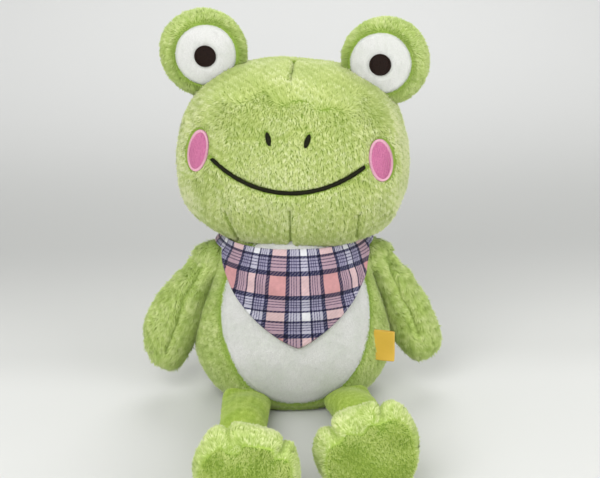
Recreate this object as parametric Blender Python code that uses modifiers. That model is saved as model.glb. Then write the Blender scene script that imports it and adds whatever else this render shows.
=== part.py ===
"""A seated plush frog: stuffed skins, filling, embroidered face, white belly, bandana and side label.

Metres, +Z up, the frog faces -Y. The origin is the centre of the flat seat. Left and right are the
frog's own, so left is at +X. Every stuffed form is a round primitive spread along a table of rows,
from one end of the form to the other. A skin is such a form hollowed by a coarser one, and its
filling is that coarser form again, a seam gap smaller.
"""

import math

import bmesh
import bpy
from mathutils import Euler, Matrix, Vector

# What fits where
SKIN = 0.003
SEAM_GAP = 0.0003
SEWN_GAP = 0.0004
SOCKET_GAP = 0.0010
SWING_GAP = 0.0007
ROOT_GAP = 0.0004
HEAD_SEAT_GAP = 0.0022
SEAT_TRIM = 0.0005
OVERCUT = 0.010

# Body, from the seat up to the round neck that the head sits on
TORSO_WIDTH = 0.171
TORSO_DEPTH = 0.130
TORSO_LEAN = math.radians(3)
NECK_RADIUS = 0.068
NECK_HEIGHT = 0.110
SHOULDER_HEIGHT = 0.128
NECK_OPENING_RADIUS = 0.022
BELLY_WIDTH = 0.128
BELLY_LOW = 0.009
BELLY_HIGH = 0.162

# Head, measured from the neck's centre
HEAD_WIDTH = 0.194
HEAD_DEPTH = 0.140
HEAD_LOW = 0.031
HEAD_HEIGHT = 0.153
HEAD_FORWARD = 0.006
HEAD_ROLL = math.radians(2.0)
HEAD_TURN = math.radians(-8)
HEAD_PITCH = math.radians(2)
HEAD_SEAM_BACK = 0.004
HEAD_SQUARE = 2.25

# Eye bumps, measured like the head
EYE_DIAMETER = 0.072
EYE_THICKNESS = 0.038
EYE_OUT = {"left": 0.0722, "right": 0.0768}
EYE_HEIGHT = 0.1855
EYE_LEAN = math.radians(14)
EYE_WHITE_DIAMETER = 0.0525
EYE_WHITE_IN = 0.0040
EYE_WHITE_DOWN = 0.0005
PUPIL_DIAMETER = 0.018

# Embroidery
STITCH_RISE = 0.0010
MOUTH_WIDTH = 0.124
MOUTH_DROP = 0.0215
MOUTH_HEIGHT = 0.1135
MOUTH_LINE = 0.0034
MOUTH_END_SHARE = 0.6
NOSTRIL_APART = 0.031
NOSTRIL_HEIGHT = 0.1345
NOSTRIL_LONG = 0.0105
NOSTRIL_WIDE = 0.0040
NOSTRIL_TURN = math.radians(16)
CHEEK_APART = 0.149
CHEEK_HEIGHT = 0.1165
CHEEK_LONG = 0.036
CHEEK_WIDE = 0.019
CHEEK_TURN = math.radians(14)

# Arms
SHOULDER_APART = 0.134
SHOULDER_Z = 0.121
SHOULDER_BACK = 0.004
ARM_ROOT_RADIUS = 0.0145
ARM_DROP = 0.0980
ARM_WIDTH = 0.046
ARM_DEPTH = 0.035
ARM_OUT = 0.041

# What an arm sweeps, from straight down and positive to the front
ARM_SWEEP = 0.110
SWEEP_ANGLES = range(-60, 130, 10)
SWEEP_SHARES = (1.00, 0.82, 0.66, 0.50, 0.36, 0.24, 0.14, 0.00)

# Legs
HIP_APART = 0.084
HIP_FORWARD = 0.041
LEG_RADIUS = 0.0190
LEG_ROOT_RADIUS = 0.0120
LEG_ROOT_WIDTH = 0.041
SLOT_SQUARE = 6.0
FLOOR_GAP = 0.0003
LEG_LENGTH = {"left": 0.124, "right": 0.152}
LEG_SPLAY = {"left": math.radians(5.8), "right": math.radians(3.7)}

# Feet, measured from the ankle
FOOT_RADIUS = 0.0430
FOOT_RISE = 0.0202
FOOT_BACK = 0.009
FOOT_THICKNESS = 0.036
FOOT_ROLL = {"left": math.radians(31), "right": math.radians(16)}
FOOT_SEAM_SHARE = 0.84

# Bandana
CLOTH = 0.0009
BANDANA_GAP = 0.0006
BANDANA_NECK_FRONT = 0.1475
BANDANA_NECK_SIDE = 0.1455
BANDANA_BAND = 0.0080
BANDANA_TIP = 0.066
BANDANA_REACH = math.radians(70)
BANDANA_FOLD = 0.0010
BANDANA_FOLDS = 8
BANDANA_ROUND = 1.2
KNOT_WIDTH = 0.022
KNOT_HEIGHT = 0.013
KNOT_DEPTH = 0.012

# Side label, a folded ribbon
RIBBON = 0.0006
LABEL_HEIGHT = 0.027
LABEL_LENGTH = 0.0135
LABEL_LOW = 0.0425
LABEL_X = 0.069
LABEL_FOLD_RADIUS = 0.0008
LABEL_CLEAR = 0.0003
LABEL_TURN = math.radians(-20)

# Heights and half widths of the body below the shoulders, as shares
TORSO_ROW_SHARES = (
    (-0.004, 0.00, 0.00),
    (0.000, 0.42, 0.46),
    (0.040, 0.71, 0.74),
    (0.165, 0.91, 0.91),
    (0.380, 1.00, 1.00),
    (0.620, 0.94, 1.00),
    (0.820, 0.835, 1.03),
)
NECK_RING_SHARES = (0.82, 0.64, 0.46, 0.30, 0.15, 0.00)
HEAD_ROW_SHARES = (
    (0.000, 0.00, 0.00),
    (0.012, 0.36, 0.40),
    (0.050, 0.64, 0.64),
    (0.135, 0.855, 0.83),
    (0.265, 0.965, 0.95),
    (0.410, 1.00, 1.00),
    (0.565, 0.98, 0.985),
    (0.715, 0.91, 0.91),
    (0.850, 0.775, 0.765),
    (0.940, 0.565, 0.56),
    (0.986, 0.30, 0.30),
    (1.000, 0.00, 0.00),
)
EYE_ROW_SHARES = (
    (-1.00, 0.00),
    (-0.98, 0.28),
    (-0.88, 0.58),
    (-0.62, 0.84),
    (-0.22, 0.98),
    (0.18, 0.99),
    (0.56, 0.88),
    (0.82, 0.66),
    (0.96, 0.34),
    (1.00, 0.00),
)
# Distance below the shoulder, half width, half depth and offset outwards, as shares
LEFT_ARM_ROW_SHARES = (
    (0.111, 0.728, 0.88, 0.372),
    (0.242, 0.767, 0.92, 0.533),
    (0.388, 0.848, 0.96, 0.707),
    (0.562, 0.915, 1.00, 0.879),
    (0.708, 0.924, 0.98, 1.006),
    (0.824, 0.760, 0.86, 1.110),
    (0.906, 0.500, 0.60, 1.140),
    (0.955, 0.240, 0.30, 1.140),
    (0.969, 0.000, 0.00, 1.140),
)
RIGHT_ARM_ROW_SHARES = (
    (0.111, 0.802, 0.90, 0.338),
    (0.242, 0.924, 0.96, 0.567),
    (0.388, 1.020, 1.00, 0.762),
    (0.562, 1.060, 1.00, 0.910),
    (0.708, 0.946, 0.95, 0.994),
    (0.834, 0.760, 0.80, 1.050),
    (0.918, 0.560, 0.62, 1.070),
    (0.974, 0.300, 0.36, 1.040),
    (1.000, 0.000, 0.00, 1.020),
)
# Distance from the hip as a share of the length, then the swelling from the flat root to the ankle
LEG_ROW_SHARES = ((0.09, 0.05), (0.26, 0.55), (0.48, 0.92), (0.76, 1.00))
# Outline of a foot: angle from the outer side, in degrees, and distance from its middle
FOOT_OUTLINE_SHARES = (
    (-90, 0.860),
    (-62, 0.845),
    (-35, 0.830),
    (-10, 0.850),
    (12, 0.905),
    (32, 0.975),
    (50, 1.015),
    (61, 0.960),
    (69, 0.840),
    (78, 0.920),
    (90, 0.960),
    (102, 0.920),
    (111, 0.840),
    (119, 0.960),
    (130, 1.015),
    (148, 0.975),
    (168, 0.905),
    (190, 0.850),
    (215, 0.830),
    (242, 0.845),
)
FOOT_ROW_SHARES = (
    (0.000, 0.00),
    (0.012, 0.34),
    (0.065, 0.64),
    (0.200, 0.87),
    (0.400, 0.985),
    (0.600, 1.00),
    (0.800, 0.91),
    (0.930, 0.70),
    (0.985, 0.38),
    (1.000, 0.00),
)
KNOT_ROW_SHARES = (
    (-1.00, 0.00),
    (-0.94, 0.40),
    (-0.70, 0.78),
    (-0.32, 0.98),
    (0.00, 0.84),
    (0.32, 0.98),
    (0.70, 0.78),
    (0.94, 0.40),
    (1.00, 0.00),
)
ROOT_RING_SHARES = (0.0, 1 / 3, 2 / 3, 1.0)

# Facets: around and along each form
HEAD_FACETS = (26, 15)
TORSO_FACETS = (24, 14)
EYE_FACETS = (16, 8)
ARM_FACETS = (14, 11)
LEG_FACETS = (14, 10)
FOOT_FACETS = (40, 7)
KNOT_FACETS = (10, 8)
CORE_FACETS = {
    "head": (16, 9),
    "torso": (16, 9),
    "eye": (12, 6),
    "arm": (8, 7),
    "leg": (8, 7),
    "foot": (20, 5),
}
BALL_FACETS = (16, 8)
SEAT_FACETS = (28, 14)
POCKET_FACETS = (14, 6)
SWEEP_FACETS = (16, 9)
OUTLINE_FACETS = 22
OPENING_FACETS = 14
BANDANA_FACETS = (32, 8)
PATCH_FACETS = 12
PATCH_RINGS = 2
MOUTH_FACETS = 18
LABEL_FOLD_FACETS = 5
SOLVE_STEPS = 40

SIDES = (("left", 1), ("right", -1))

GREEN = (0.43, 0.56, 0.15)
LEG_GREEN = (0.36, 0.58, 0.10)
SOLE_GREEN = (0.33, 0.47, 0.09)
WHITE = (0.82, 0.82, 0.80)
FILLING = (0.88, 0.88, 0.86)
DARK_BROWN = (0.035, 0.016, 0.010)
OLIVE_BLACK = (0.020, 0.020, 0.006)
PINK = (0.67, 0.16, 0.37)
PLAID = (0.62, 0.42, 0.47)
YELLOW = (0.86, 0.66, 0.10)
PILE_ROUGHNESS = 0.9
THREAD_ROUGHNESS = 0.6
RIBBON_ROUGHNESS = 0.5


def smooth(near, f):
    """The entry between the two middle ones of four, on a curve through all four."""
    weights = (
        (-f + 2 * f * f - f ** 3) / 2,
        (2 - 5 * f * f + 3 * f ** 3) / 2,
        (f + 4 * f * f - 3 * f ** 3) / 2,
        (f ** 3 - f * f) / 2,
    )
    return [sum(w * entry[i] for w, entry in zip(weights, near)) for i in range(len(near[0]))]


class Form:
    """A stuffed shape: rows (height, half width, half depth, centre x, centre y) and a ring shape."""

    def __init__(self, rows, ring=None, square=2.0):
        self.rows = rows
        self.ring = ring
        self.square = square

    def row(self, index):
        """A row of the table, mirrored through the end of the form past either end."""
        last = len(self.rows) - 1
        if 0 <= index <= last:
            return self.rows[index]
        height, width, depth, x, y = self.rows[-index if index < 0 else 2 * last - index]
        return (height, -width, -depth, x, y)

    def at(self, t):
        """The row at t, from 0 to 1, on a smooth curve through the table."""
        place = t * (len(self.rows) - 1)
        start = min(int(place), len(self.rows) - 2)
        return smooth([self.row(start + k) for k in (-1, 0, 1, 2)], place - start)

    def around(self, angle):
        """The unit outline of a ring in the direction of an angle."""
        if self.ring:
            return self.ring(angle)
        c, s = math.cos(angle), math.sin(angle)
        n = self.square
        reach = (abs(c) ** n + abs(s) ** n) ** (-1 / n)
        return reach * c, reach * s

    def point(self, t, angle):
        """A point of the surface."""
        height, width, depth, x, y = self.at(t)
        across, along = self.around(angle)
        return Vector((x + width * across, y + depth * along, height))

    def solve(self, column, value, low, high):
        """The t between low and high at which a column of the table reaches a value."""
        rising = self.at(high)[column] > self.at(low)[column]
        for _ in range(SOLVE_STEPS):
            middle = (low + high) / 2
            if (self.at(middle)[column] < value) == rising:
                low = middle
            else:
                high = middle
        return low

    def front(self, x, z):
        """The point of the front surface at a place in the face's plane."""
        _, width, depth, _, y = self.at(self.solve(0, z, 0, 1))
        share = min(abs(x / width), 1)
        reach = (1 - share ** self.square) ** (1 / self.square)
        return Vector((x, y - depth * reach, z))

    def cap(self, x, y):
        """The point of the far end's surface at a place in the plane of the rings."""
        t = self.solve(1, math.hypot(x, y), 0.5, 1)
        return Vector((x, y, self.at(t)[0]))


def material(name, color, roughness=PILE_ROUGHNESS):
    mat = bpy.data.materials.get(name)
    if mat is None:
        mat = bpy.data.materials.new(name)
        mat.use_nodes = True
        shader = mat.node_tree.nodes["Principled BSDF"]
        shader.inputs["Base Color"].default_value = (*color, 1)
        shader.inputs["Roughness"].default_value = roughness
    return mat


def add_object(name, bm, place, parent=None, mat=None, turn=None):
    """A mesh object made from a bmesh, in a collection, under a parent."""
    mesh = bpy.data.meshes.new(name)
    bmesh.ops.recalc_face_normals(bm, faces=bm.faces[:])
    bm.to_mesh(mesh)
    bm.free()
    mesh.shade_smooth()
    obj = bpy.data.objects.new(name, mesh)
    place.objects.link(obj)
    obj.parent = parent
    if turn is not None:
        obj.matrix_local = turn
    if mat is not None:
        mesh.materials.append(mat)
    return obj


def empty(name, location, rotation=(0, 0, 0), parent=None):
    pivot = bpy.data.objects.new(name, None)
    frog.objects.link(pivot)
    pivot.parent = parent
    pivot.location = location
    pivot.rotation_euler = rotation
    return pivot


def form_mesh(form, facets, inset=0.0):
    """A round primitive spread over a form, then moved in along its normals."""
    bm = bmesh.new()
    bmesh.ops.create_uvsphere(bm, u_segments=facets[0], v_segments=facets[1], radius=1)
    for vert in bm.verts:
        t = math.acos(max(-1, min(1, -vert.co.z))) / math.pi
        vert.co = form.point(t, math.atan2(vert.co.y, vert.co.x))
    bmesh.ops.triangulate(bm, faces=bm.faces[:])
    if inset:
        bmesh.ops.recalc_face_normals(bm, faces=bm.faces[:])
        bm.normal_update()
        moves = [(vert, vert.normal * inset) for vert in bm.verts]
        for vert, move in moves:
            vert.co -= move
    return bm


def form_object(name, form, facets, inset=0.0, **kwargs):
    return add_object(name, form_mesh(form, facets, inset), **kwargs)


def cutter(obj):
    obj.hide_render = True
    obj.display_type = "WIRE"
    return obj


def ball_cutter(name, radius, parent=None, location=(0, 0, 0), facets=BALL_FACETS):
    bm = bmesh.new()
    bmesh.ops.create_uvsphere(bm, u_segments=facets[0], v_segments=facets[1], radius=radius)
    return cutter(
        add_object(name, bm, cutters, parent, turn=Matrix.Translation(location))
    )


def rod_cutter(name, radius_x, radius_y, low, high, facets, location=(0, 0, 0), turn=Matrix()):
    """An upright cylinder from low to high along its axis, before it is turned and placed."""
    bm = bmesh.new()
    bmesh.ops.create_cone(bm, cap_ends=True, segments=facets, radius1=1, radius2=1, depth=1)
    stretch = Matrix.Diagonal((radius_x, radius_y, high - low, 1))
    middle = Matrix.Translation((0, 0, (low + high) / 2))
    bmesh.ops.transform(bm, matrix=turn @ middle @ stretch, verts=bm.verts[:])
    return cutter(
        add_object(name, bm, cutters, turn=Matrix.Translation(location))
    )


def box_cutter(name, low, high, parent=None):
    bm = bmesh.new()
    bmesh.ops.create_cube(bm, size=1)
    size = Vector(high) - Vector(low)
    middle = Matrix.Translation((Vector(high) + Vector(low)) / 2)
    bmesh.ops.transform(bm, matrix=middle @ Matrix.Diagonal((*size, 1)), verts=bm.verts[:])
    return cutter(add_object(name, bm, cutters, parent))


def cut(obj, *tools, operation="DIFFERENCE"):
    for tool in tools:
        mod = obj.modifiers.new(tool.name, "BOOLEAN")
        mod.operation = operation
        mod.solver = "EXACT"
        mod.object = tool
    return obj


def torso_form():
    """The pear-shaped body, whose top follows a sphere round the neck's centre."""
    rows = []
    for height, width, depth in TORSO_ROW_SHARES:
        z = height * SHOULDER_HEIGHT
        rows.append((z, width * TORSO_WIDTH / 2, depth * TORSO_DEPTH / 2))
    for share in NECK_RING_SHARES:
        angle = share * math.pi / 2
        ring = NECK_RADIUS * math.sin(angle)
        rows.append((NECK_HEIGHT + NECK_RADIUS * math.cos(angle), ring, ring))
    lean = math.tan(TORSO_LEAN)
    leaned = []
    for z, width, depth in rows:
        leaned.append((z - SEAT_TRIM, width, depth, 0, lean * min(z, NECK_HEIGHT)))
    return Form(leaned)


def head_form():
    rows = []
    for height, width, depth in HEAD_ROW_SHARES:
        z = HEAD_LOW + height * HEAD_HEIGHT
        rows.append((z, width * HEAD_WIDTH / 2, depth * HEAD_DEPTH / 2, 0, -HEAD_FORWARD))
    return Form(rows, square=HEAD_SQUARE)


def eye_form():
    rows = []
    for height, width in EYE_ROW_SHARES:
        radius = width * EYE_DIAMETER / 2
        rows.append((height * EYE_THICKNESS / 2, radius, radius, 0, 0))
    return Form(rows)


def root_rows(radius, width=None):
    """The outer half of a limb's round root, from its end to its widest ring."""
    rows = []
    for share in ROOT_RING_SHARES:
        angle = share * math.pi / 2
        ring = math.sin(angle)
        rows.append((-radius * math.cos(angle), (width or radius) * ring, radius * ring, 0, 0))
    return rows


def arm_form(side):
    rows = root_rows(ARM_ROOT_RADIUS)
    for height, width, depth, out in LEFT_ARM_ROW_SHARES if side > 0 else RIGHT_ARM_ROW_SHARES:
        half = (width * ARM_WIDTH / 2, depth * ARM_DEPTH / 2)
        rows.append((height * ARM_DROP, *half, -side * out * ARM_OUT, 0))
    return Form(rows)


def leg_form(length, lean):
    """A leg that is flat where it is sewn in and swells to a round ankle, level underneath."""
    root_width = LEG_ROOT_WIDTH / 2
    lift = LEG_RADIUS - LEG_ROOT_RADIUS
    rows = root_rows(LEG_ROOT_RADIUS, root_width)
    for height, swell in LEG_ROW_SHARES:
        width = root_width + swell * (LEG_RADIUS - root_width)
        z = height * length
        rows.append((z, width, LEG_ROOT_RADIUS + swell * lift, lean * z, swell * lift))
    for height, width, depth, *_ in reversed(root_rows(LEG_RADIUS)):
        rows.append((length - height, width, depth, lean * length, lift))
    return Form(rows)


def foot_outline(angle):
    """The three-toed outline: the points of its table, evenly shared round the ring."""
    count = len(FOOT_OUTLINE_SHARES)
    place = angle / math.tau % 1 * count
    start = int(place)
    near = []
    for index in range(start - 1, start + 3):
        laps, entry = divmod(index, count)
        turn, reach = FOOT_OUTLINE_SHARES[entry]
        near.append((turn + 360 * laps, reach))
    turn, reach = smooth(near, place - start)
    return reach * math.cos(math.radians(turn)), reach * math.sin(math.radians(turn))


def foot_form():
    """The foot lies on its back: its rings follow the toes, and its height is the foot's thickness."""
    rows = []
    for height, width in FOOT_ROW_SHARES:
        radius = width * FOOT_RADIUS
        rows.append((FOOT_BACK + height * FOOT_THICKNESS, radius, radius, 0, FOOT_RISE))
    return Form(rows, ring=foot_outline)


def normal_of(surface, x, z, step):
    """The outward normal of a surface given as a function of two places."""
    one = surface(x + step, z) - surface(x - step, z)
    two = surface(x, z + step) - surface(x, z - step)
    normal = one.cross(two)
    return normal.normalized()


def raised(surface, x, z, rise, outward):
    """A point above a surface, on the side that a direction points to."""
    normal = normal_of(surface, x, z, SKIN)
    if normal.dot(outward) < 0:
        normal = -normal
    return surface(x, z) + normal * rise


def solidify(obj, thickness, offset=1.0):
    mod = obj.modifiers.new("thickness", "SOLIDIFY")
    mod.thickness = thickness
    mod.offset = offset
    return obj


def oriented(bm, outward):
    """Turns the faces of an open patch so that they look outwards."""
    bmesh.ops.recalc_face_normals(bm, faces=bm.faces[:])
    total = sum((face.normal * face.calc_area() for face in bm.faces), Vector())
    if total.dot(outward) < 0:
        bmesh.ops.reverse_faces(bm, faces=bm.faces[:])


def patch_object(name, bm, parent, mat, outward, thickness):
    """An open patch made solid outwards from where it lies."""
    oriented(bm, outward)
    mesh = bpy.data.meshes.new(name)
    bm.to_mesh(mesh)
    bm.free()
    mesh.shade_smooth()
    mesh.materials.append(mat)
    obj = bpy.data.objects.new(name, mesh)
    frog.objects.link(obj)
    obj.parent = parent
    return solidify(obj, thickness)


def oval_patch(name, surface, spot, size, turn, parent, mat, outward):
    """A stitched oval that follows a surface: half a ball laid flat, each point set on the surface."""
    bm = bmesh.new()
    bmesh.ops.create_uvsphere(
        bm, u_segments=PATCH_FACETS, v_segments=2 * PATCH_RINGS, radius=1
    )
    lower = [vert for vert in bm.verts if vert.co.z < -SEAM_GAP]
    bmesh.ops.delete(bm, geom=lower, context="VERTS")
    for vert in bm.verts:
        across = vert.co.x * size[0] / 2
        along = vert.co.y * size[1] / 2
        x = spot[0] + across * math.cos(turn) - along * math.sin(turn)
        z = spot[1] + across * math.sin(turn) + along * math.cos(turn)
        vert.co = raised(surface, x, z, SEWN_GAP, outward)
    return patch_object(name, bm, parent, mat, outward, STITCH_RISE)


def line_patch(name, surface, path, width, parent, mat, outward):
    """A stitched line that follows a surface, three points across."""
    bm = bmesh.new()
    count = len(path)
    bmesh.ops.create_grid(bm, x_segments=count - 1, y_segments=2, size=1)
    for vert in bm.verts:
        index = round((vert.co.x + 1) / 2 * (count - 1))
        before = path[max(index - 1, 0)]
        after = path[min(index + 1, count - 1)]
        run = Vector((after[0] - before[0], after[1] - before[1])).normalized()
        taper = 1 if 0 < index < count - 1 else MOUTH_END_SHARE
        side = vert.co.y * width / 2 * taper
        x = path[index][0] - run.y * side
        z = path[index][1] + run.x * side
        vert.co = raised(surface, x, z, SEWN_GAP, outward)
    return patch_object(name, bm, parent, mat, outward, STITCH_RISE)


def neck_centre():
    return Vector((0, math.tan(TORSO_LEAN) * NECK_HEIGHT, NECK_HEIGHT))


def shoulder(side):
    return Vector((side * SHOULDER_APART / 2, SHOULDER_BACK, SHOULDER_Z))


def hip(side):
    return Vector((side * HIP_APART / 2, -HIP_FORWARD, LEG_ROOT_RADIUS + FLOOR_GAP))


def slot_form(gap):
    """A round-topped well: the path that a leg's root takes when the leg hangs down."""
    drop = LEG_ROOT_RADIUS + OVERCUT
    radius = LEG_ROOT_RADIUS + gap
    half = LEG_ROOT_WIDTH / 2 + gap
    rows = [(-drop - SKIN, 0, 0, 0, 0)]
    for height in (-drop, -drop / 2):
        rows.append((height, half, radius, 0, 0))
    for height, width, depth, *_ in reversed(root_rows(radius, half)):
        rows.append((-height, width, depth, 0, 0))
    return Form(rows, square=SLOT_SQUARE)


def make_pockets(gap, label):
    """The room for each limb's root; that of a leg is open downwards, so that the leg can hang."""
    arms = []
    legs = []
    for name, side in SIDES:
        arms.append(
            ball_cutter(f"arm_{label}_{name}", ARM_ROOT_RADIUS + gap, location=shoulder(side))
        )
        slot = form_object(f"leg_{label}_{name}", slot_form(gap), POCKET_FACETS, place=cutters,
                           turn=Matrix.Translation(hip(side)))
        legs.append(cutter(slot))
    return arms, legs


def make_torso(pockets):
    form = torso_form()
    green = material("green_plush", GREEN)
    centre = neck_centre()
    reach = TORSO_WIDTH
    floor = box_cutter("floor_cut", (-reach, -reach, -OVERCUT), (reach, reach, 0))
    opening = rod_cutter(
        "neck_opening", NECK_OPENING_RADIUS, NECK_OPENING_RADIUS,
        NECK_RADIUS - SKIN - OVERCUT, NECK_RADIUS + SKIN + OVERCUT, OPENING_FACETS,
        location=centre,
    )
    middle = (BELLY_HIGH + BELLY_LOW) / 2
    half = (BELLY_HIGH - BELLY_LOW) / 2
    towards_front = Matrix.Rotation(math.radians(90), 4, "X")
    panels = []
    for name, grow in (("belly_outline", -SEAM_GAP / 2), ("belly_hole", SEAM_GAP / 2)):
        panels.append(
            rod_cutter(
                name, BELLY_WIDTH / 2 + grow, half + grow, 0, TORSO_DEPTH, OUTLINE_FACETS,
                location=(0, 0, middle), turn=towards_front,
            )
        )
    hollow = cutter(
        form_object("torso_hollow", form, CORE_FACETS["torso"], SKIN, place=cutters)
    )
    for name, mat in (("torso_skin", green), ("belly_panel", material("white_plush", WHITE))):
        skin = form_object(name, form, TORSO_FACETS, place=frog, mat=mat)
        cut(skin, hollow, floor, opening, *pockets)
        if name == "belly_panel":
            cut(skin, panels[0], operation="INTERSECT")
        else:
            cut(skin, panels[1])
    filling = form_object(
        "torso_stuffing", form, CORE_FACETS["torso"], SKIN + SEAM_GAP,
        place=frog, mat=material("filling", FILLING),
    )
    cut(filling, *pockets)
    return form, opening


def make_head(opening):
    form = head_form()
    green = material("green_plush", GREEN)
    neck = empty("head_pivot", neck_centre())
    centre = Matrix.Translation((0, -HEAD_FORWARD, HEAD_LOW + HEAD_HEIGHT / 2))
    turned = Euler((HEAD_PITCH, HEAD_ROLL, HEAD_TURN)).to_matrix().to_4x4()
    pivot = empty("head_tilt", (0, 0, 0), parent=neck)
    pivot.matrix_local = centre @ turned @ centre.inverted()
    seat_radius = NECK_RADIUS + HEAD_SEAT_GAP
    seat = ball_cutter("head_seat", seat_radius, neck, facets=SEAT_FACETS)
    wall = ball_cutter("head_seat_wall", seat_radius + SKIN, neck)
    core_wall = ball_cutter("head_seat_core", seat_radius + SKIN + SEAM_GAP, neck)
    hollow = cutter(
        form_object("head_hollow", form, CORE_FACETS["head"], SKIN, place=cutters, parent=pivot)
    )
    cut(hollow, wall)
    reach = HEAD_WIDTH
    top = HEAD_LOW + HEAD_HEIGHT + OVERCUT
    behind = box_cutter(
        "behind_side_seam",
        (-reach, HEAD_SEAM_BACK - SEAM_GAP / 2, -OVERCUT), (reach, reach, top), pivot,
    )
    before = box_cutter(
        "before_side_seam",
        (-reach, -reach, -OVERCUT), (reach, HEAD_SEAM_BACK + SEAM_GAP / 2, top), pivot,
    )
    for name, other_half in (("face_panel", behind), ("head_back", before)):
        skin = form_object(name, form, HEAD_FACETS, place=frog, parent=pivot, mat=green)
        cut(skin, seat, hollow, opening, other_half)
    filling = form_object(
        "head_stuffing", form, CORE_FACETS["head"], SKIN + SEAM_GAP,
        place=frog, parent=pivot, mat=material("filling", FILLING),
    )
    cut(filling, core_wall)
    clearance = cutter(
        form_object("head_clearance", form, HEAD_FACETS, -SEWN_GAP, place=cutters, parent=pivot)
    )
    make_face(form, pivot)
    make_eyes(clearance, pivot)


def make_face(form, pivot):
    """Mouth, nostrils and cheeks, stitched on the front of the head."""
    outward = Vector((0, -1, 0))
    count = MOUTH_FACETS
    path = []
    for step in range(count):
        share = 2 * step / (count - 1) - 1
        path.append((share * MOUTH_WIDTH / 2, MOUTH_HEIGHT - MOUTH_DROP * (1 - share * share)))
    line = material("olive_black_thread", OLIVE_BLACK, THREAD_ROUGHNESS)
    line_patch("mouth_line", form.front, path, MOUTH_LINE, pivot, line, outward)
    for name, side in SIDES:
        oval_patch(
            f"nostril_{name}", form.front, (side * NOSTRIL_APART / 2, NOSTRIL_HEIGHT),
            (NOSTRIL_WIDE, NOSTRIL_LONG), -side * NOSTRIL_TURN, pivot, line, outward,
        )
        oval_patch(
            f"cheek_{name}", form.front, (side * CHEEK_APART / 2, CHEEK_HEIGHT),
            (CHEEK_WIDE, CHEEK_LONG), side * CHEEK_TURN, pivot,
            material("pink_thread", PINK, THREAD_ROUGHNESS), outward,
        )


def make_eyes(clearance, head_pivot):
    """Round cushions on the head's top corners, each with a white disc and a stitched pupil."""
    form = eye_form()
    face_forward = Matrix.Rotation(math.radians(90), 4, "X")
    for name, side in SIDES:
        lean = Matrix.Rotation(side * EYE_LEAN, 4, "Y")
        spot = Matrix.Translation((side * EYE_OUT[name], 0, EYE_HEIGHT))
        turn = spot @ lean @ face_forward
        pivot = empty(f"eye_place_{name}", (0, 0, 0), parent=head_pivot)
        pivot.matrix_local = turn
        look = Vector((-side * EYE_WHITE_IN, -EYE_WHITE_DOWN, 0))
        hollow = cutter(
            form_object(f"eye_hollow_{name}", form, CORE_FACETS["eye"], SKIN,
                        place=cutters, parent=pivot)
        )
        discs = []
        for label, grow in (("outline", -SEAM_GAP / 2), ("hole", SEAM_GAP / 2)):
            disc = rod_cutter(
                f"eye_white_{label}_{name}", EYE_WHITE_DIAMETER / 2 + grow,
                EYE_WHITE_DIAMETER / 2 + grow, 0, EYE_THICKNESS, OUTLINE_FACETS,
                location=look,
            )
            disc.parent = pivot
            discs.append(disc)
        bump = form_object(f"eye_bump_{name}", form, EYE_FACETS, place=frog, parent=pivot,
                           mat=material("green_plush", GREEN))
        cut(bump, hollow, discs[1], clearance)
        white = form_object(f"eye_white_{name}", form, EYE_FACETS, place=frog, parent=pivot,
                            mat=material("white_plush", WHITE))
        cut(white, hollow)
        cut(white, discs[0], operation="INTERSECT")
        cut(white, clearance)
        filling = form_object(f"eye_stuffing_{name}", form, CORE_FACETS["eye"],
                              SKIN + SEAM_GAP, place=frog, parent=pivot,
                              mat=material("filling", FILLING))
        cut(filling, clearance)
        oval_patch(
            f"pupil_{name}", form.cap, look.xy, (PUPIL_DIAMETER, PUPIL_DIAMETER), 0, pivot,
            material("dark_brown_thread", DARK_BROWN, THREAD_ROUGHNESS), Vector((0, 0, 1)),
        )


def sweep_form(body_form):
    """The body's reach to the side, turned about the shoulders' axis: what a swinging arm clears."""
    pivot = shoulder(1)
    rows = [(0, 0, 0, 0, 0)]
    for share in SWEEP_SHARES:
        radius = share * ARM_SWEEP
        reach = 0
        for angle in SWEEP_ANGLES:
            y = pivot.y - radius * math.sin(math.radians(angle))
            z = pivot.z - radius * math.cos(math.radians(angle))
            _, width, depth, _, middle = body_form.at(body_form.solve(0, z, 0, 1))
            if abs(y - middle) < depth:
                reach = max(reach, width * math.sqrt(1 - ((y - middle) / depth) ** 2))
        if len(rows) == 1:
            rows.append((0, radius, radius, 0, 0))
        rows.append((reach + SWING_GAP, radius, radius, 0, 0))
    return Form(rows)


def make_arms(body_form, roots):
    hang = Matrix.Rotation(math.radians(180), 4, "Y")
    sweep = sweep_form(body_form)
    for name, side in SIDES:
        sideways = Matrix.Rotation(side * math.radians(90), 4, "Y")
        level = Matrix.Translation((0, SHOULDER_BACK, SHOULDER_Z))
        clearance = cutter(
            form_object(f"arm_sweep_{name}", sweep, SWEEP_FACETS, place=cutters,
                        turn=level @ sideways)
        )
        cut(clearance, *roots)
        form = arm_form(side)
        pivot = empty(f"shoulder_{name}", shoulder(side))
        hollow = cutter(
            form_object(f"arm_hollow_{name}", form, CORE_FACETS["arm"], SKIN,
                        place=cutters, parent=pivot, turn=hang)
        )
        skin = form_object(f"arm_skin_{name}", form, ARM_FACETS, place=frog, parent=pivot,
                           mat=material("green_plush", GREEN), turn=hang)
        cut(skin, hollow, clearance)
        filling = form_object(f"arm_stuffing_{name}", form, CORE_FACETS["arm"],
                              SKIN + SEAM_GAP, place=frog, parent=pivot,
                              mat=material("filling", FILLING), turn=hang)
        cut(filling, clearance)


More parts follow.
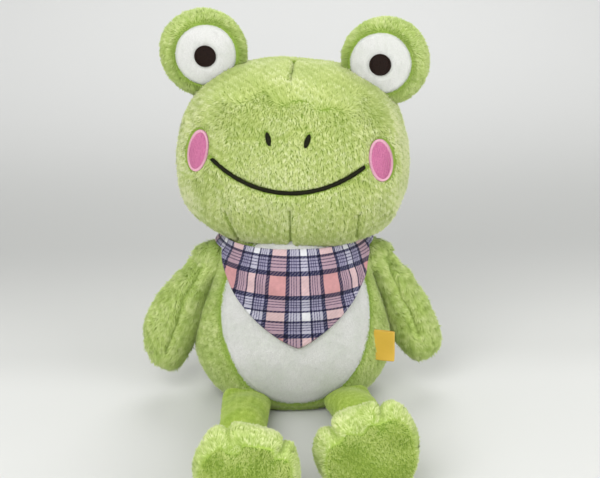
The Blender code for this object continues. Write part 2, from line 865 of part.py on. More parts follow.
def make_legs(body_form, roots):
    clearance = cutter(
        form_object("torso_clearance", body_form, TORSO_FACETS, -SEWN_GAP, place=cutters)
    )
    cut(clearance, *roots)
    turn = Matrix.Rotation(math.radians(90), 4, "X")
    for name, side in SIDES:
        lean = side * math.tan(LEG_SPLAY[name])
        form = leg_form(LEG_LENGTH[name], lean)
        pivot = empty(f"hip_{name}", hip(side))
        hollow = cutter(
            form_object(f"leg_hollow_{name}", form, CORE_FACETS["leg"], SKIN,
                        place=cutters, parent=pivot, turn=turn)
        )
        opening = rod_cutter(
            f"leg_opening_{name}", LEG_ROOT_RADIUS / 2, LEG_ROOT_RADIUS / 2,
            -LEG_ROOT_RADIUS - OVERCUT, -LEG_ROOT_RADIUS / 2, OPENING_FACETS,
        )
        opening.parent = pivot
        opening.matrix_local = turn
        skin = form_object(f"leg_skin_{name}", form, LEG_FACETS, place=frog, parent=pivot,
                           mat=material("leg_plush", LEG_GREEN), turn=turn)
        cut(skin, hollow, opening, clearance)
        filling = form_object(f"leg_stuffing_{name}", form, CORE_FACETS["leg"],
                              SKIN + SEAM_GAP, place=frog, parent=pivot,
                              mat=material("filling", FILLING), turn=turn)
        cut(filling, clearance)
        length = LEG_LENGTH[name]
        run = turn @ Vector((lean * length, LEG_RADIUS - LEG_ROOT_RADIUS, length))
        make_foot(name, side, pivot, run)


def make_foot(name, side, leg_pivot, ankle):
    """A three-toed foot: an upper and a sole, sewn together along their edge."""
    form = foot_form()
    stand = Matrix.Rotation(math.radians(90), 4, "X")
    roll = Matrix.Rotation(-side * FOOT_ROLL[name], 4, "Y")
    pivot = empty(f"ankle_{name}", ankle, parent=leg_pivot)
    turn = roll @ stand
    socket = ball_cutter(f"ankle_socket_{name}", LEG_RADIUS + SOCKET_GAP, pivot)
    core_socket = ball_cutter(
        f"ankle_core_{name}", LEG_RADIUS + SOCKET_GAP + SKIN + SEAM_GAP, pivot
    )
    skin_socket = ball_cutter(
        f"ankle_wall_{name}", LEG_RADIUS + SOCKET_GAP + SKIN, pivot
    )
    hollow = cutter(
        form_object(f"foot_hollow_{name}", form, CORE_FACETS["foot"], SKIN,
                    place=cutters, parent=pivot, turn=turn)
    )
    cut(hollow, skin_socket)
    seam = FOOT_BACK + FOOT_SEAM_SHARE * FOOT_THICKNESS
    reach = 2 * FOOT_RADIUS
    halves = (
        ("foot_upper", "leg_plush", LEG_GREEN, seam - SEAM_GAP / 2, FOOT_THICKNESS + reach),
        ("foot_sole", "sole_plush", SOLE_GREEN, -reach, seam + SEAM_GAP / 2),
    )
    for label, look, color, low, high in halves:
        other = box_cutter(
            f"{label}_trim_{name}", (-reach, -reach, low), (reach, 2 * reach, high), pivot
        )
        other.matrix_local = turn
        skin = form_object(f"{label}_{name}", form, FOOT_FACETS, place=frog, parent=pivot,
                           mat=material(look, color), turn=turn)
        cut(skin, hollow, socket, other)
    filling = form_object(f"foot_stuffing_{name}", form, CORE_FACETS["foot"],
                          SKIN + SEAM_GAP, place=frog, parent=pivot,
                          mat=material("filling", FILLING), turn=turn)
    cut(filling, core_socket)


def bandana_edges(turn):
    """Upper and lower edge heights of the bandana at an angle from the front."""
    side = min(abs(turn) / BANDANA_REACH, 1)
    top = BANDANA_NECK_SIDE - (BANDANA_NECK_SIDE - BANDANA_NECK_FRONT) * (1 - side)
    band = top - BANDANA_BAND
    hang = BANDANA_TIP + (band - BANDANA_TIP) * side ** BANDANA_ROUND
    return top, min(hang, band)


def make_bandana(form):
    """A band round the neck whose front hangs down over the chest, with soft upright folds."""
    bm = bmesh.new()
    bmesh.ops.create_grid(
        bm, x_segments=BANDANA_FACETS[0], y_segments=BANDANA_FACETS[1], size=1
    )
    for vert in bm.verts:
        turn = vert.co.x * math.pi
        share = (1 - vert.co.y) / 2
        top, low = bandana_edges(turn)
        z = top + (low - top) * share
        t = form.solve(0, z, 0, 1)
        fold = BANDANA_FOLD * (1 + math.cos(BANDANA_FOLDS * turn)) * share ** 2
        angle = turn - math.pi / 2
        here = form.point(t, angle)
        step = 1 / TORSO_FACETS[0]
        one = form.point(t, angle + step) - form.point(t, angle - step)
        two = form.point(t + step / 2, angle) - form.point(t - step / 2, angle)
        normal = one.cross(two).normalized()
        if normal.dot(Vector((here.x, here.y - form.at(t)[4], 0))) < 0:
            normal = -normal
        vert.co = here + normal * (BANDANA_GAP + fold)
    bmesh.ops.remove_doubles(bm, verts=bm.verts[:], dist=SEAM_GAP / 2)
    mesh = bpy.data.meshes.new("bandana")
    bmesh.ops.recalc_face_normals(bm, faces=bm.faces[:])
    outwards = sum(face.normal.dot(face.calc_center_median() * Vector((1, 1, 0)))
                   for face in bm.faces)
    if outwards < 0:
        bmesh.ops.reverse_faces(bm, faces=bm.faces[:])
    bm.to_mesh(mesh)
    bm.free()
    mesh.materials.append(material("plaid_cotton", PLAID))
    mesh.shade_smooth()
    obj = bpy.data.objects.new("bandana", mesh)
    frog.objects.link(obj)
    solidify(obj, CLOTH)
    make_knot(form)


def make_knot(form):
    """The knot at the nape, a waisted roll of cloth just outside the band."""
    rows = []
    for height, width in KNOT_ROW_SHARES:
        half = (width * KNOT_DEPTH / 2, width * KNOT_HEIGHT / 2)
        rows.append((height * KNOT_WIDTH / 2, *half, 0, 0))
    z = BANDANA_NECK_SIDE - BANDANA_BAND / 2
    back = form.point(form.solve(0, z, 0, 1), math.pi / 2)
    out = BANDANA_GAP + CLOTH + 2 * BANDANA_FOLD + SEAM_GAP + KNOT_DEPTH / 2
    turn = (
        Matrix.Translation((0, back.y + out, z - KNOT_HEIGHT / 2))
        @ Matrix.Rotation(math.radians(90), 4, "Z")
        @ Matrix.Rotation(math.radians(90), 4, "X")
    )
    form_object("bandana_knot", Form(rows), KNOT_FACETS, place=frog,
                mat=material("plaid_cotton", PLAID), turn=turn)


def make_label(form):
    """A ribbon folded back on itself, its cut ends against the side of the body."""
    bm = bmesh.new()
    points = []
    for side in (1, -1):
        ends = [(0, side * LABEL_FOLD_RADIUS), (LABEL_LENGTH, side * LABEL_FOLD_RADIUS)]
        points += ends if side > 0 else ends[::-1]
    for step in range(1, LABEL_FOLD_FACETS):
        angle = math.pi / 2 - math.pi * step / LABEL_FOLD_FACETS
        points.insert(
            1 + step,
            (LABEL_LENGTH + LABEL_FOLD_RADIUS * math.cos(angle),
             LABEL_FOLD_RADIUS * math.sin(angle)),
        )
    low = [bm.verts.new((x, y, LABEL_LOW)) for x, y in points]
    edges = [bm.edges.new((low[i], low[i + 1])) for i in range(len(low) - 1)]
    result = bmesh.ops.extrude_edge_only(bm, edges=edges)
    lifted = [v for v in result["geom"] if isinstance(v, bmesh.types.BMVert)]
    bmesh.ops.translate(bm, verts=lifted, vec=(0, 0, LABEL_HEIGHT))
    middle = LABEL_LOW + LABEL_HEIGHT / 2
    spot = raised(form.front, LABEL_X, middle, LABEL_CLEAR, Vector((0, -1, 0)))
    turn = Matrix.Translation((spot.x, spot.y, 0)) @ Matrix.Rotation(LABEL_TURN, 4, "Z")
    ribbon = material("yellow_ribbon", YELLOW, RIBBON_ROUGHNESS)
    label = add_object("side_label", bm, frog, mat=ribbon, turn=turn)
    solidify(label, RIBBON, 0.0)


for old in list(bpy.data.objects):
    bpy.data.objects.remove(old, do_unlink=True)
frog = bpy.data.collections.new("plush_frog")
cutters = bpy.data.collections.new("cutters")
for made in (frog, cutters):
    bpy.context.scene.collection.children.link(made)
arm_pockets, leg_pockets = make_pockets(SOCKET_GAP, "pocket")
arm_roots, leg_roots = make_pockets(ROOT_GAP, "root")
body, neck_opening = make_torso(arm_pockets + leg_pockets)
make_head(neck_opening)
make_arms(body, arm_roots)
make_legs(body, leg_roots)
make_bandana(body)
make_label(body)
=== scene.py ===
"""Looks of the plush frog: stuffed skins with sewn-in darts and mesh fur, thread, plaid cotton.

Metres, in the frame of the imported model. The rows of each form repeat the CAD source, so every
skin here lies a pile's depth inside its CAD solid, and the tips of its fur end on it. The toes,
the shoulders and the bandana's sides are then brought nearer to the photograph.
"""

import math
from collections import namedtuple

import bpy
import numpy as np
from mathutils import Euler, Matrix, Vector


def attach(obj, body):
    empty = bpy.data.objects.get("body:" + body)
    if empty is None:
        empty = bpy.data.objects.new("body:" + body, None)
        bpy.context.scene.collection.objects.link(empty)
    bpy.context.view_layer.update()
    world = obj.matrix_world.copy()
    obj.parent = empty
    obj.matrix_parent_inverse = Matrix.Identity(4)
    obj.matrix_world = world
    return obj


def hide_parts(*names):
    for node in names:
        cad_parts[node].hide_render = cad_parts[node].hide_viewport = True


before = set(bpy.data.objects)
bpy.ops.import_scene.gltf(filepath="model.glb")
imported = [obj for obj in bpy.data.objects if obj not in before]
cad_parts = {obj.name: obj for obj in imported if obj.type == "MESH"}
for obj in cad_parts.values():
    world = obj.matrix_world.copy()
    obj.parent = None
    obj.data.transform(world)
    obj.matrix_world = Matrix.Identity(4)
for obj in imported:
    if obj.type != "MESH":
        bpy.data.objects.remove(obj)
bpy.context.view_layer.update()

SIDES = (("left", 1), ("right", -1))
MM = 0.001

# Sizes repeated from the CAD source
SEAT_TRIM = 0.0005
TORSO_WIDTH = 0.171
TORSO_DEPTH = 0.130
TORSO_LEAN = math.radians(3)
NECK_RADIUS = 0.068
NECK_HEIGHT = 0.110
SHOULDER_HEIGHT = 0.128
BELLY_WIDTH = 0.128
BELLY_LOW = 0.009
BELLY_HIGH = 0.162
HEAD_WIDTH = 0.194
HEAD_DEPTH = 0.140
HEAD_LOW = 0.031
HEAD_HEIGHT = 0.153
HEAD_FORWARD = 0.006
HEAD_ROLL = math.radians(2.0)
HEAD_TURN = math.radians(-8)
HEAD_PITCH = math.radians(2)
HEAD_SEAM_BACK = 0.004
HEAD_SQUARE = 2.25
EYE_DIAMETER = 0.072
EYE_THICKNESS = 0.038
EYE_OUT = {"left": 0.0722, "right": 0.0768}
EYE_HEIGHT = 0.1855
EYE_LEAN = math.radians(14)
EYE_WHITE_DIAMETER = 0.0525
EYE_WHITE_IN = 0.0040
EYE_WHITE_DOWN = 0.0005
PUPIL_DIAMETER = 0.018
MOUTH_WIDTH = 0.124
MOUTH_DROP = 0.0215
MOUTH_HEIGHT = 0.1135
MOUTH_LINE = 0.0034
NOSTRIL_APART = 0.031
NOSTRIL_HEIGHT = 0.1345
NOSTRIL_LONG = 0.0105
NOSTRIL_WIDE = 0.0040
NOSTRIL_TURN = math.radians(16)
CHEEK_APART = 0.149
CHEEK_HEIGHT = 0.1165
CHEEK_LONG = 0.036
CHEEK_WIDE = 0.019
CHEEK_TURN = math.radians(14)
SHOULDER_APART = 0.134
SHOULDER_Z = 0.121
SHOULDER_BACK = 0.004
ARM_ROOT_RADIUS = 0.0145
ARM_DROP = 0.0980
ARM_WIDTH = 0.046
ARM_DEPTH = 0.035
ARM_OUT = 0.041
HIP_APART = 0.084
HIP_FORWARD = 0.041
LEG_RADIUS = 0.0190
LEG_ROOT_RADIUS = 0.0120
LEG_ROOT_WIDTH = 0.041
FLOOR_GAP = 0.0003
LEG_LENGTH = {"left": 0.124, "right": 0.152}
LEG_SPLAY = {"left": math.radians(5.8), "right": math.radians(3.7)}
FOOT_RADIUS = 0.0430
FOOT_RISE = 0.0202
FOOT_BACK = 0.009
FOOT_THICKNESS = 0.036
FOOT_ROLL = {"left": math.radians(31), "right": math.radians(16)}
FOOT_SEAM_SHARE = 0.84
SEAM_GAP = 0.0003
CLOTH = 0.0009
BANDANA_GAP = 0.0006
BANDANA_NECK_FRONT = 0.1475
BANDANA_NECK_SIDE = 0.1455
BANDANA_BAND = 0.0080
BANDANA_TIP = 0.066
BANDANA_REACH = math.radians(70)
BANDANA_FOLD = 0.0010
BANDANA_FOLDS = 8
BANDANA_ROUND = 1.2
KNOT_DEPTH = 0.012
KNOT_HEIGHT = 0.013
KNOT_WIDTH = 0.022
RIBBON = 0.0006
LABEL_HEIGHT = 0.027
LABEL_LENGTH = 0.0135
LABEL_LOW = 0.0425
LABEL_X = 0.069
LABEL_FOLD_RADIUS = 0.0008
LABEL_CLEAR = 0.0003
LABEL_TURN = math.radians(-20)

# Height, half width and half depth, as shares
TORSO_ROWS = (
    (-0.004, 0.00, 0.00), (0.000, 0.42, 0.46), (0.040, 0.71, 0.74), (0.165, 0.91, 0.91),
    (0.380, 1.00, 1.00), (0.620, 0.94, 1.00), (0.820, 0.835, 1.03),
)
NECK_RINGS = (0.82, 0.64, 0.46, 0.30, 0.15, 0.00)
HEAD_ROWS = (
    (0.000, 0.00, 0.00), (0.012, 0.36, 0.40), (0.050, 0.64, 0.64), (0.135, 0.855, 0.83),
    (0.265, 0.965, 0.95), (0.410, 1.00, 1.00), (0.565, 0.98, 0.985), (0.715, 0.91, 0.91),
    (0.850, 0.775, 0.765), (0.940, 0.565, 0.56), (0.986, 0.30, 0.30), (1.000, 0.00, 0.00),
)
# Height and half width, as shares, here and for the legs and feet
EYE_ROWS = (
    (-1.00, 0.00), (-0.98, 0.28), (-0.88, 0.58), (-0.62, 0.84), (-0.22, 0.98), (0.18, 0.99),
    (0.56, 0.88), (0.82, 0.66), (0.96, 0.34), (1.00, 0.00),
)
# Distance below the shoulder, half width, half depth and offset outwards, as shares
ARM_ROWS = {
    "left": (
        (0.111, 0.728, 0.88, 0.372), (0.242, 0.767, 0.92, 0.533),
        (0.388, 0.848, 0.96, 0.707), (0.562, 0.915, 1.00, 0.879),
        (0.708, 0.924, 0.98, 1.006), (0.824, 0.760, 0.86, 1.110),
        (0.906, 0.500, 0.60, 1.140), (0.955, 0.240, 0.30, 1.140),
        (0.969, 0.000, 0.00, 1.140),
    ),
    "right": (
        (0.111, 0.802, 0.90, 0.338), (0.242, 0.924, 0.96, 0.567),
        (0.388, 1.020, 1.00, 0.762), (0.562, 1.060, 1.00, 0.910),
        (0.708, 0.946, 0.95, 0.994), (0.834, 0.760, 0.80, 1.050),
        (0.918, 0.560, 0.62, 1.070), (0.974, 0.300, 0.36, 1.040),
        (1.000, 0.000, 0.00, 1.020),
    ),
}
# Height above the shoulder and how far the arm reaches outwards from it there
SHOULDER_SLOPE = (
    (-30 * MM, -20 * MM, -12 * MM, -8 * MM, -2 * MM, 4 * MM, 9 * MM, 13 * MM, 15 * MM),
    (0, 0, 30.5 * MM, 28.5 * MM, 25 * MM, 21.5 * MM, 17.5 * MM, 13 * MM, 9 * MM),
)
LEG_ROWS = ((0.09, 0.05), (0.26, 0.55), (0.48, 0.92), (0.76, 1.00))
# Angle in degrees and reach, as a share of the foot's radius
FOOT_OUTLINE = (
    (-90, 0.865), (-62, 0.850), (-35, 0.840), (-10, 0.870), (12, 0.930), (32, 0.990), (50, 1.020),
    (61, 1.005), (69, 0.992), (78, 0.990), (90, 0.995), (102, 0.990), (111, 0.992), (119, 1.005),
    (130, 1.020), (148, 0.990), (168, 0.930), (190, 0.870), (215, 0.840), (242, 0.850),
)
# Creases between the toes, and each toe: middle, half angle and share of reach gained
TOE_GAPS = {"left": (46.0, 112.0), "right": (56.0, 127.0)}
TOE_REACH = {
    "left": ((22.0, 26.0, 0.055), (76.0, 27.0, -0.15), (138.0, 26.0, -0.075)),
    "right": ((30.0, 27.0, -0.10), (92.0, 32.0, -0.19), (150.0, 24.0, -0.06)),
}
FOOT_ROWS = (
    (0.000, 0.00), (0.012, 0.34), (0.065, 0.64), (0.200, 0.87), (0.400, 0.985), (0.600, 1.00),
    (0.800, 0.91), (0.930, 0.70), (0.985, 0.38), (1.000, 0.00),
)
ROOT_RINGS = (0.0, 1 / 3, 2 / 3, 1.0)

# The looks' own sizes; FAR stands for a distance that counts as out of reach
FAR = 1.0
ROOT_DEPTH = 0.4 * MM
SHEET = 0.7 * MM
LOW_SEAM = 4.4 * MM
COLLAR_HEIGHT = 0.153
PANEL_FUR_TOP = 0.158
FACE_FRONT = -0.006
BACK_SEAM_FROM = 0.01
BACK_SEAM_LOW = 0.06
# Painted light: heights over which the lower face grows paler, and distances out at which the
# head's sides grow paler
CHIN_PAINTED_LIGHT = (0.150, 0.105)
TEMPLE_PAINTED_LIGHT = (0.064, 0.090)
ARM_HIDDEN = 0.085
LOW_HAND = 0.024
# One repeat of the check, round the neck and down, and where it starts
CHECK_TURN = math.radians(37.6)
CHECK_START = math.radians(-22.2)
CHECK_DROP = 0.0532
CHECK_LEVEL = 0.1314
STAGE_LOW = -0.0005
CAMERA_ANGLES = (math.radians(-3.5), math.radians(18))
CAMERA_AIM = Vector((0.0055, 0, 0.140))
CAMERA_DISTANCE = 1.1
CAMERA_LENS = 77.6
LAMP_AIM = Vector((0, -0.02, 0.14))
# Name, place, size and power
LAMPS = (
    ("key", (-0.55, -1.15, 1.05), 1.1, 13.0),
    ("fill", (1.05, -0.95, 0.65), 1.1, 6.0),
    ("rim", (0.2, 1.1, 1.35), 1.2, 9.5),
)
# The paper's colour from the camera to the backdrop, with painted shade: darker over the floor
# behind the frog, lighter near the camera and up the backdrop
PAPER_PAINTED_SHADE = (
    (0.0, (0.690, 0.695, 0.680)), (0.06, (0.625, 0.63, 0.615)), (0.26, (0.480, 0.485, 0.475)),
    (0.75, (0.655, 0.66, 0.655)),
)

# Where the photograph shows seams and creases, in each form's own plane
FOREHEAD_DART = ((-0.0018, 0.185), (-0.0013, 0.1808), (-0.0013, 0.1765))
CHIN_DARTS = (
    ((0.0039, 0.078), (0.0040, 0.0645), (0.0038, 0.040)),
    ((-0.0495, 0.070), (-0.0446, 0.056), (-0.0400, 0.040)),
    ((0.0583, 0.073), (0.0579, 0.060), (0.0570, 0.048)),
)
FACE_CREASES = (
    ((-0.046, 0.1335), (-0.0336, 0.1344), (-0.020, 0.1356)),
    ((-0.012, 0.1352), (-0.0020, 0.1370), (0.0040, 0.1425), (0.0120, 0.1440)),
    ((0.045, 0.1000), (0.0562, 0.1035), (0.0651, 0.0960)),
    ((-0.064, 0.1010), (-0.0570, 0.0985), (-0.051, 0.0940)),
)
ARM_CREASE = {
    "right": ((-0.0765, 0.1190), (-0.0850, 0.1073), (-0.0950, 0.0920), (-0.0986, 0.0738),
              (-0.1060, 0.0560), (-0.1105, 0.0440)),
    "left": ((0.0775, 0.1250), (0.0835, 0.1097), (0.0905, 0.0920), (0.1000, 0.0764),
             (0.1075, 0.0560)),
}


def smooth(near, f):
    """The entry between the two middle ones of four, on a curve through all four."""
    weights = (
        (-f + 2 * f * f - f ** 3) / 2,
        (2 - 5 * f * f + 3 * f ** 3) / 2,
        (f + 4 * f * f - 3 * f ** 3) / 2,
        (f ** 3 - f * f) / 2,
    )
    return sum(w * entry for w, entry in zip(weights, near))


def steps(low, high, value):
    """0 below low, 1 above high and a soft rise between them."""
    share = np.clip((value - low) / (high - low), 0, 1)
    return share * share * (3 - 2 * share)


def unit(vectors):
    return vectors / np.maximum(np.linalg.norm(vectors, axis=-1, keepdims=True), 1e-12)


def waves(points, size, seed, count=7):
    """A smooth random value, mostly between -1 and 1, at each point, in lumps of a size."""
    source = np.random.default_rng(seed)
    total = np.zeros(len(points))
    for _ in range(count):
        run = source.normal(size=3)
        run *= math.tau / (size * source.uniform(0.8, 1.6) * np.linalg.norm(run))
        total += np.sin(points @ run + source.uniform(0, math.tau))
    return total / math.sqrt(count)


class Form:
    """A stuffed shape: rows (height, half width, half depth, centre x, centre y) and a ring."""

    def __init__(self, rows, ring=None, square=2.0):
        rows = np.array(rows, float)
        flip = np.array((1, -1, -1, 1, 1))
        self.count = len(rows)
        self.table = np.vstack((rows[1] * flip, rows, rows[-2] * flip))
        self.ring = ring
        self.square = square
        self.ts = np.linspace(0, 1, 4001)
        self.heights = self.at(self.ts)[:, 0]
        self.widths = self.at(self.ts)[:, 1]

    def at(self, t):
        place = np.asarray(t, float) * (self.count - 1)
        start = np.minimum(place.astype(int), self.count - 2)
        f = (place - start)[..., None]
        return smooth([self.table[start + k] for k in range(4)], f)

    def around(self, angle):
        if self.ring:
            return self.ring(angle)
        c, s = np.cos(angle), np.sin(angle)
        n = self.square
        reach = (np.abs(c) ** n + np.abs(s) ** n) ** (-1 / n)
        return reach * c, reach * s

    def point(self, t, angle):
        row = self.at(t)
        across, along = self.around(angle)
        return np.stack(
            (row[..., 3] + row[..., 1] * across, row[..., 4] + row[..., 2] * along, row[..., 0]),
            -1,
        )

    def level(self, z):
        """The row at a height."""
        return self.at(np.interp(z, self.heights, self.ts))

    def front(self, x, z):
        row = self.level(z)
        share = np.minimum(np.abs(x / np.maximum(row[..., 1], 1e-6)), 1)
        reach = (1 - share ** self.square) ** (1 / self.square)
        return np.stack((x + 0 * z, row[..., 4] - row[..., 2] * reach, z + 0 * x), -1)

    def cap(self, x, y):
        """The far end's surface at a place in the plane of the rings."""
        half = len(self.ts) // 2
        radius = np.hypot(x, y)
        t = np.interp(-radius, -self.widths[half:], self.ts[half:])
        return np.stack((x, y, self.at(t)[..., 0]), -1)

    def inside(self, points, margin=0.0):
        """Whether points lie inside the form by more than a margin."""
        x, y, z = points.T
        row = self.level(z)
        width = np.maximum(row[:, 1] - margin, 1e-6)
        depth = np.maximum(row[:, 2] - margin, 1e-6)
        n = self.square
        ring = np.abs((x - row[:, 3]) / width) ** n + np.abs((y - row[:, 4]) / depth) ** n
        return (ring < 1) & (z > self.heights[0] + margin) & (z < self.heights[-1] - margin)


def torso_form():
    rows = []
    for height, width, depth in TORSO_ROWS:
        rows.append((height * SHOULDER_HEIGHT, width * TORSO_WIDTH / 2, depth * TORSO_DEPTH / 2))
    for share in NECK_RINGS:
        angle = share * math.pi / 2
        ring = NECK_RADIUS * math.sin(angle)
        rows.append((NECK_HEIGHT + NECK_RADIUS * math.cos(angle), ring, ring))
    lean = math.tan(TORSO_LEAN)
    return Form([(z - SEAT_TRIM, w, d, 0, lean * min(z, NECK_HEIGHT)) for z, w, d in rows])


def head_form():
    rows = []
    for height, width, depth in HEAD_ROWS:
        z = HEAD_LOW + height * HEAD_HEIGHT
        rows.append((z, width * HEAD_WIDTH / 2, depth * HEAD_DEPTH / 2, 0, -HEAD_FORWARD))
    return Form(rows, square=HEAD_SQUARE)


def eye_form():
    rows = []
    for height, width in EYE_ROWS:
        radius = width * EYE_DIAMETER / 2
        rows.append((height * EYE_THICKNESS / 2, radius, radius, 0, 0))
    return Form(rows)


def root_rows(radius, width=None):
    rows = []
    for share in ROOT_RINGS:
        angle = share * math.pi / 2
        ring = math.sin(angle)
        rows.append((-radius * math.cos(angle), (width or radius) * ring, radius * ring, 0, 0))
    return rows


def arm_form(name, side):
    rows = root_rows(ARM_ROOT_RADIUS)
    for height, width, depth, out in ARM_ROWS[name]:
        half = (width * ARM_WIDTH / 2, depth * ARM_DEPTH / 2)
        rows.append((height * ARM_DROP, *half, -side * out * ARM_OUT, 0))
    return Form(rows)


def leg_form(length, lean):
    root_width = LEG_ROOT_WIDTH / 2
    lift = LEG_RADIUS - LEG_ROOT_RADIUS
    rows = root_rows(LEG_ROOT_RADIUS, root_width)
    for height, swell in LEG_ROWS:
        width = root_width + swell * (LEG_RADIUS - root_width)
        z = height * length
        rows.append((z, width, LEG_ROOT_RADIUS + swell * lift, lean * z, swell * lift))
    for height, width, depth, *_ in reversed(root_rows(LEG_RADIUS)):
        rows.append((length - height, width, depth, lean * length, lift))
    return Form(rows)


def foot_outline(angle):
    count = len(FOOT_OUTLINE)
    place = np.asarray(angle, float) / math.tau % 1 * count
    start = np.floor(place).astype(int)
    table = np.array(FOOT_OUTLINE, float)
    near = []
    for k in range(-1, 3):
        laps, entry = np.divmod(start + k, count)
        near.append(table[entry] + np.stack((360.0 * laps, 0.0 * laps), -1))
    found = smooth(near, (place - start)[..., None])
    turn, reach = np.radians(found[..., 0]), found[..., 1]
    return reach * np.cos(turn), reach * np.sin(turn)


def foot_form():
    rows = []
    for height, width in FOOT_ROWS:
        radius = width * FOOT_RADIUS
        rows.append((FOOT_BACK + height * FOOT_THICKNESS, radius, radius, 0, FOOT_RISE))
    return Form(rows, ring=foot_outline)


def neck_centre():
    return Vector((0, math.tan(TORSO_LEAN) * NECK_HEIGHT, NECK_HEIGHT))


def shoulder(side):
    return Vector((side * SHOULDER_APART / 2, SHOULDER_BACK, SHOULDER_Z))


def hip(side):
    return Vector((side * HIP_APART / 2, -HIP_FORWARD, LEG_ROOT_RADIUS + FLOOR_GAP))


QUARTER = Matrix.Rotation(math.radians(90), 4, "X")


def head_matrix():
    centre = Matrix.Translation((0, -HEAD_FORWARD, HEAD_LOW + HEAD_HEIGHT / 2))
    turned = Euler((HEAD_PITCH, HEAD_ROLL, HEAD_TURN)).to_matrix().to_4x4()
    return Matrix.Translation(neck_centre()) @ centre @ turned @ centre.inverted()


def eye_matrix(name, side):
    spot = Matrix.Translation((side * EYE_OUT[name], 0, EYE_HEIGHT))
    return head_matrix() @ spot @ Matrix.Rotation(side * EYE_LEAN, 4, "Y") @ QUARTER


def arm_matrix(side):
    return Matrix.Translation(shoulder(side)) @ Matrix.Rotation(math.pi, 4, "Y")


def leg_matrix(side):
    return Matrix.Translation(hip(side)) @ QUARTER


def foot_matrix(name, side):
    lean = side * math.tan(LEG_SPLAY[name])
    length = LEG_LENGTH[name]
    run = QUARTER @ Vector((lean * length, LEG_RADIUS - LEG_ROOT_RADIUS, length))
    roll = Matrix.Rotation(-side * FOOT_ROLL[name], 4, "Y")
    return Matrix.Translation(hip(side) + run) @ roll @ QUARTER


def moved(points, matrix):
    m = np.array(matrix)
    return points @ m[:3, :3].T + m[:3, 3]


def turned(vectors, matrix):
    return vectors @ np.array(matrix)[:3, :3].T


def unmoved(points, matrix):
    return moved(points, matrix.inverted())


def to_path(points, path):
    """Distance of 2-D points from a path."""
    path = np.asarray(path, float)
    best = np.full(len(points), np.inf)
    for start, end in zip(path[:-1], path[1:]):
        run = end - start
        share = np.clip((points - start) @ run / (run @ run), 0, 1)
        gap = points - start - share[:, None] * run
        best = np.minimum(best, np.hypot(gap[:, 0], gap[:, 1]))
    return best


def to_oval(x, z, spot, size, turn):
    """Signed distance from an oval's edge, below zero inside."""
    dx, dz = x - spot[0], z - spot[1]
    across = dx * math.cos(turn) + dz * math.sin(turn)
    along = -dx * math.sin(turn) + dz * math.cos(turn)
    ring = np.hypot(across / (size[0] / 2), along / (size[1] / 2))
    return (ring - 1) * min(size) / 2


def fade(distance, most, width):
    """The most at distance 0, fading to nothing over a width on either side."""
    return most * np.exp(-((distance / width) ** 2))


def round_turn(count):
    """Angles spread evenly over a whole turn."""
    return np.arange(count) / count * math.tau


def pairs(slow, fast):
    """Every pair of two rows of values, the second changing first."""
    return (part.ravel() for part in np.meshgrid(slow, fast, indexing="ij"))


# Meshes


def linked(name, data):
    """A new object of the data, placed in the scene."""
    obj = bpy.data.objects.new(name, data)
    bpy.context.scene.collection.objects.link(obj)
    return obj


def mesh_object(name, verts, faces):
    mesh = bpy.data.meshes.new(name)
    mesh.from_pydata(np.asarray(verts).tolist(), [], faces)
    mesh.validate()
    mesh.shade_smooth()
    return linked(name, mesh)


def read(items, field, width, kind=np.float32):
    """A field of a mesh's items, a row for each."""
    found = np.empty(len(items) * width, kind)
    items.foreach_get(field, found)
    return found.reshape(-1, width)


def write(items, field, values, kind=np.float32):
    items.foreach_set(field, np.ascontiguousarray(values, kind).ravel())


def normals_of(mesh):
    return read(mesh.vertex_normals, "vector", 3).astype(float)


def places_of(mesh):
    return read(mesh.vertices, "co", 3).astype(float)


def corners_of(mesh):
    """The vertex at each corner of the faces."""
    return read(mesh.loops, "vertex_index", 1, np.int32).ravel()


def set_places(mesh, points):
    write(mesh.vertices, "co", points)
    mesh.update()


def raised(obj, low):
    """Lifts what lies lower than a height up to it."""
    points = places_of(obj.data)
    points[:, 2] = np.maximum(points[:, 2], low)
    set_places(obj.data, points)
    return points


def thicken(obj, thickness, offset):
    mod = obj.modifiers.new("thickness", "SOLIDIFY")
    mod.thickness = thickness
    mod.offset = offset


def sewn(obj, body, materials, nodes=()):
    """Gives a piece its materials and body, and hides the nodes it replaces."""
    for material in materials:
        obj.data.materials.append(material)
    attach(obj, body)
    if nodes:
        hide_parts(*nodes)


def wound(face, flip):
    """A face from the same first corner, the other way round where flipped."""
    return (face[0], *face[:0:-1]) if flip else face


def grid_faces(slow, fast, closed=False, flip=False):
    """Faces between rows of places, the last row joined to the first where closed."""
    faces = []
    for j in range(slow if closed else slow - 1):
        here, after = j * fast, (j + 1) % slow * fast
        for k in range(fast - 1):
            faces.append(wound((here + k, here + k + 1, after + k + 1, after + k), flip))
    return faces


def ring_faces(rings, around, flip=False):
    """Faces between closed rings of places that follow a single first place."""
    faces = []
    for low in range(1, 1 + (rings - 1) * around, around):
        high = low + around
        for j in range(around):
            n = (j + 1) % around
            faces.append(wound((low + j, low + n, high + n, high + j), flip))
    return faces


def ball_faces(around, along):
    """Faces of a ball of rings between two end points, seen right way round from outside."""
    last = 1 + around * (along - 1)
    top = last - around
    turns = [(j, (j + 1) % around) for j in range(around)]
    start = [(0, 1 + n, 1 + j) for j, n in turns]
    end = [(last, top + j, top + n) for j, n in turns]
    return start + ring_faces(along - 1, around) + end


def skin(name, form, around, along, matrix, change):
    """A stuffed skin: the form's surface moved along its normals by what change returns."""
    ends = form.point(np.array((0.0, 1.0)), np.array((0.0, 0.0)))
    body = form.point(*pairs(np.arange(1, along) / along, round_turn(around)))
    points = np.vstack((ends[:1], body, ends[1:]))
    obj = mesh_object(name, points, ball_faces(around, along))
    normals = normals_of(obj.data)
    points = points + normals * change(points, normals)[:, None]
    set_places(obj.data, moved(points, matrix))
    return obj


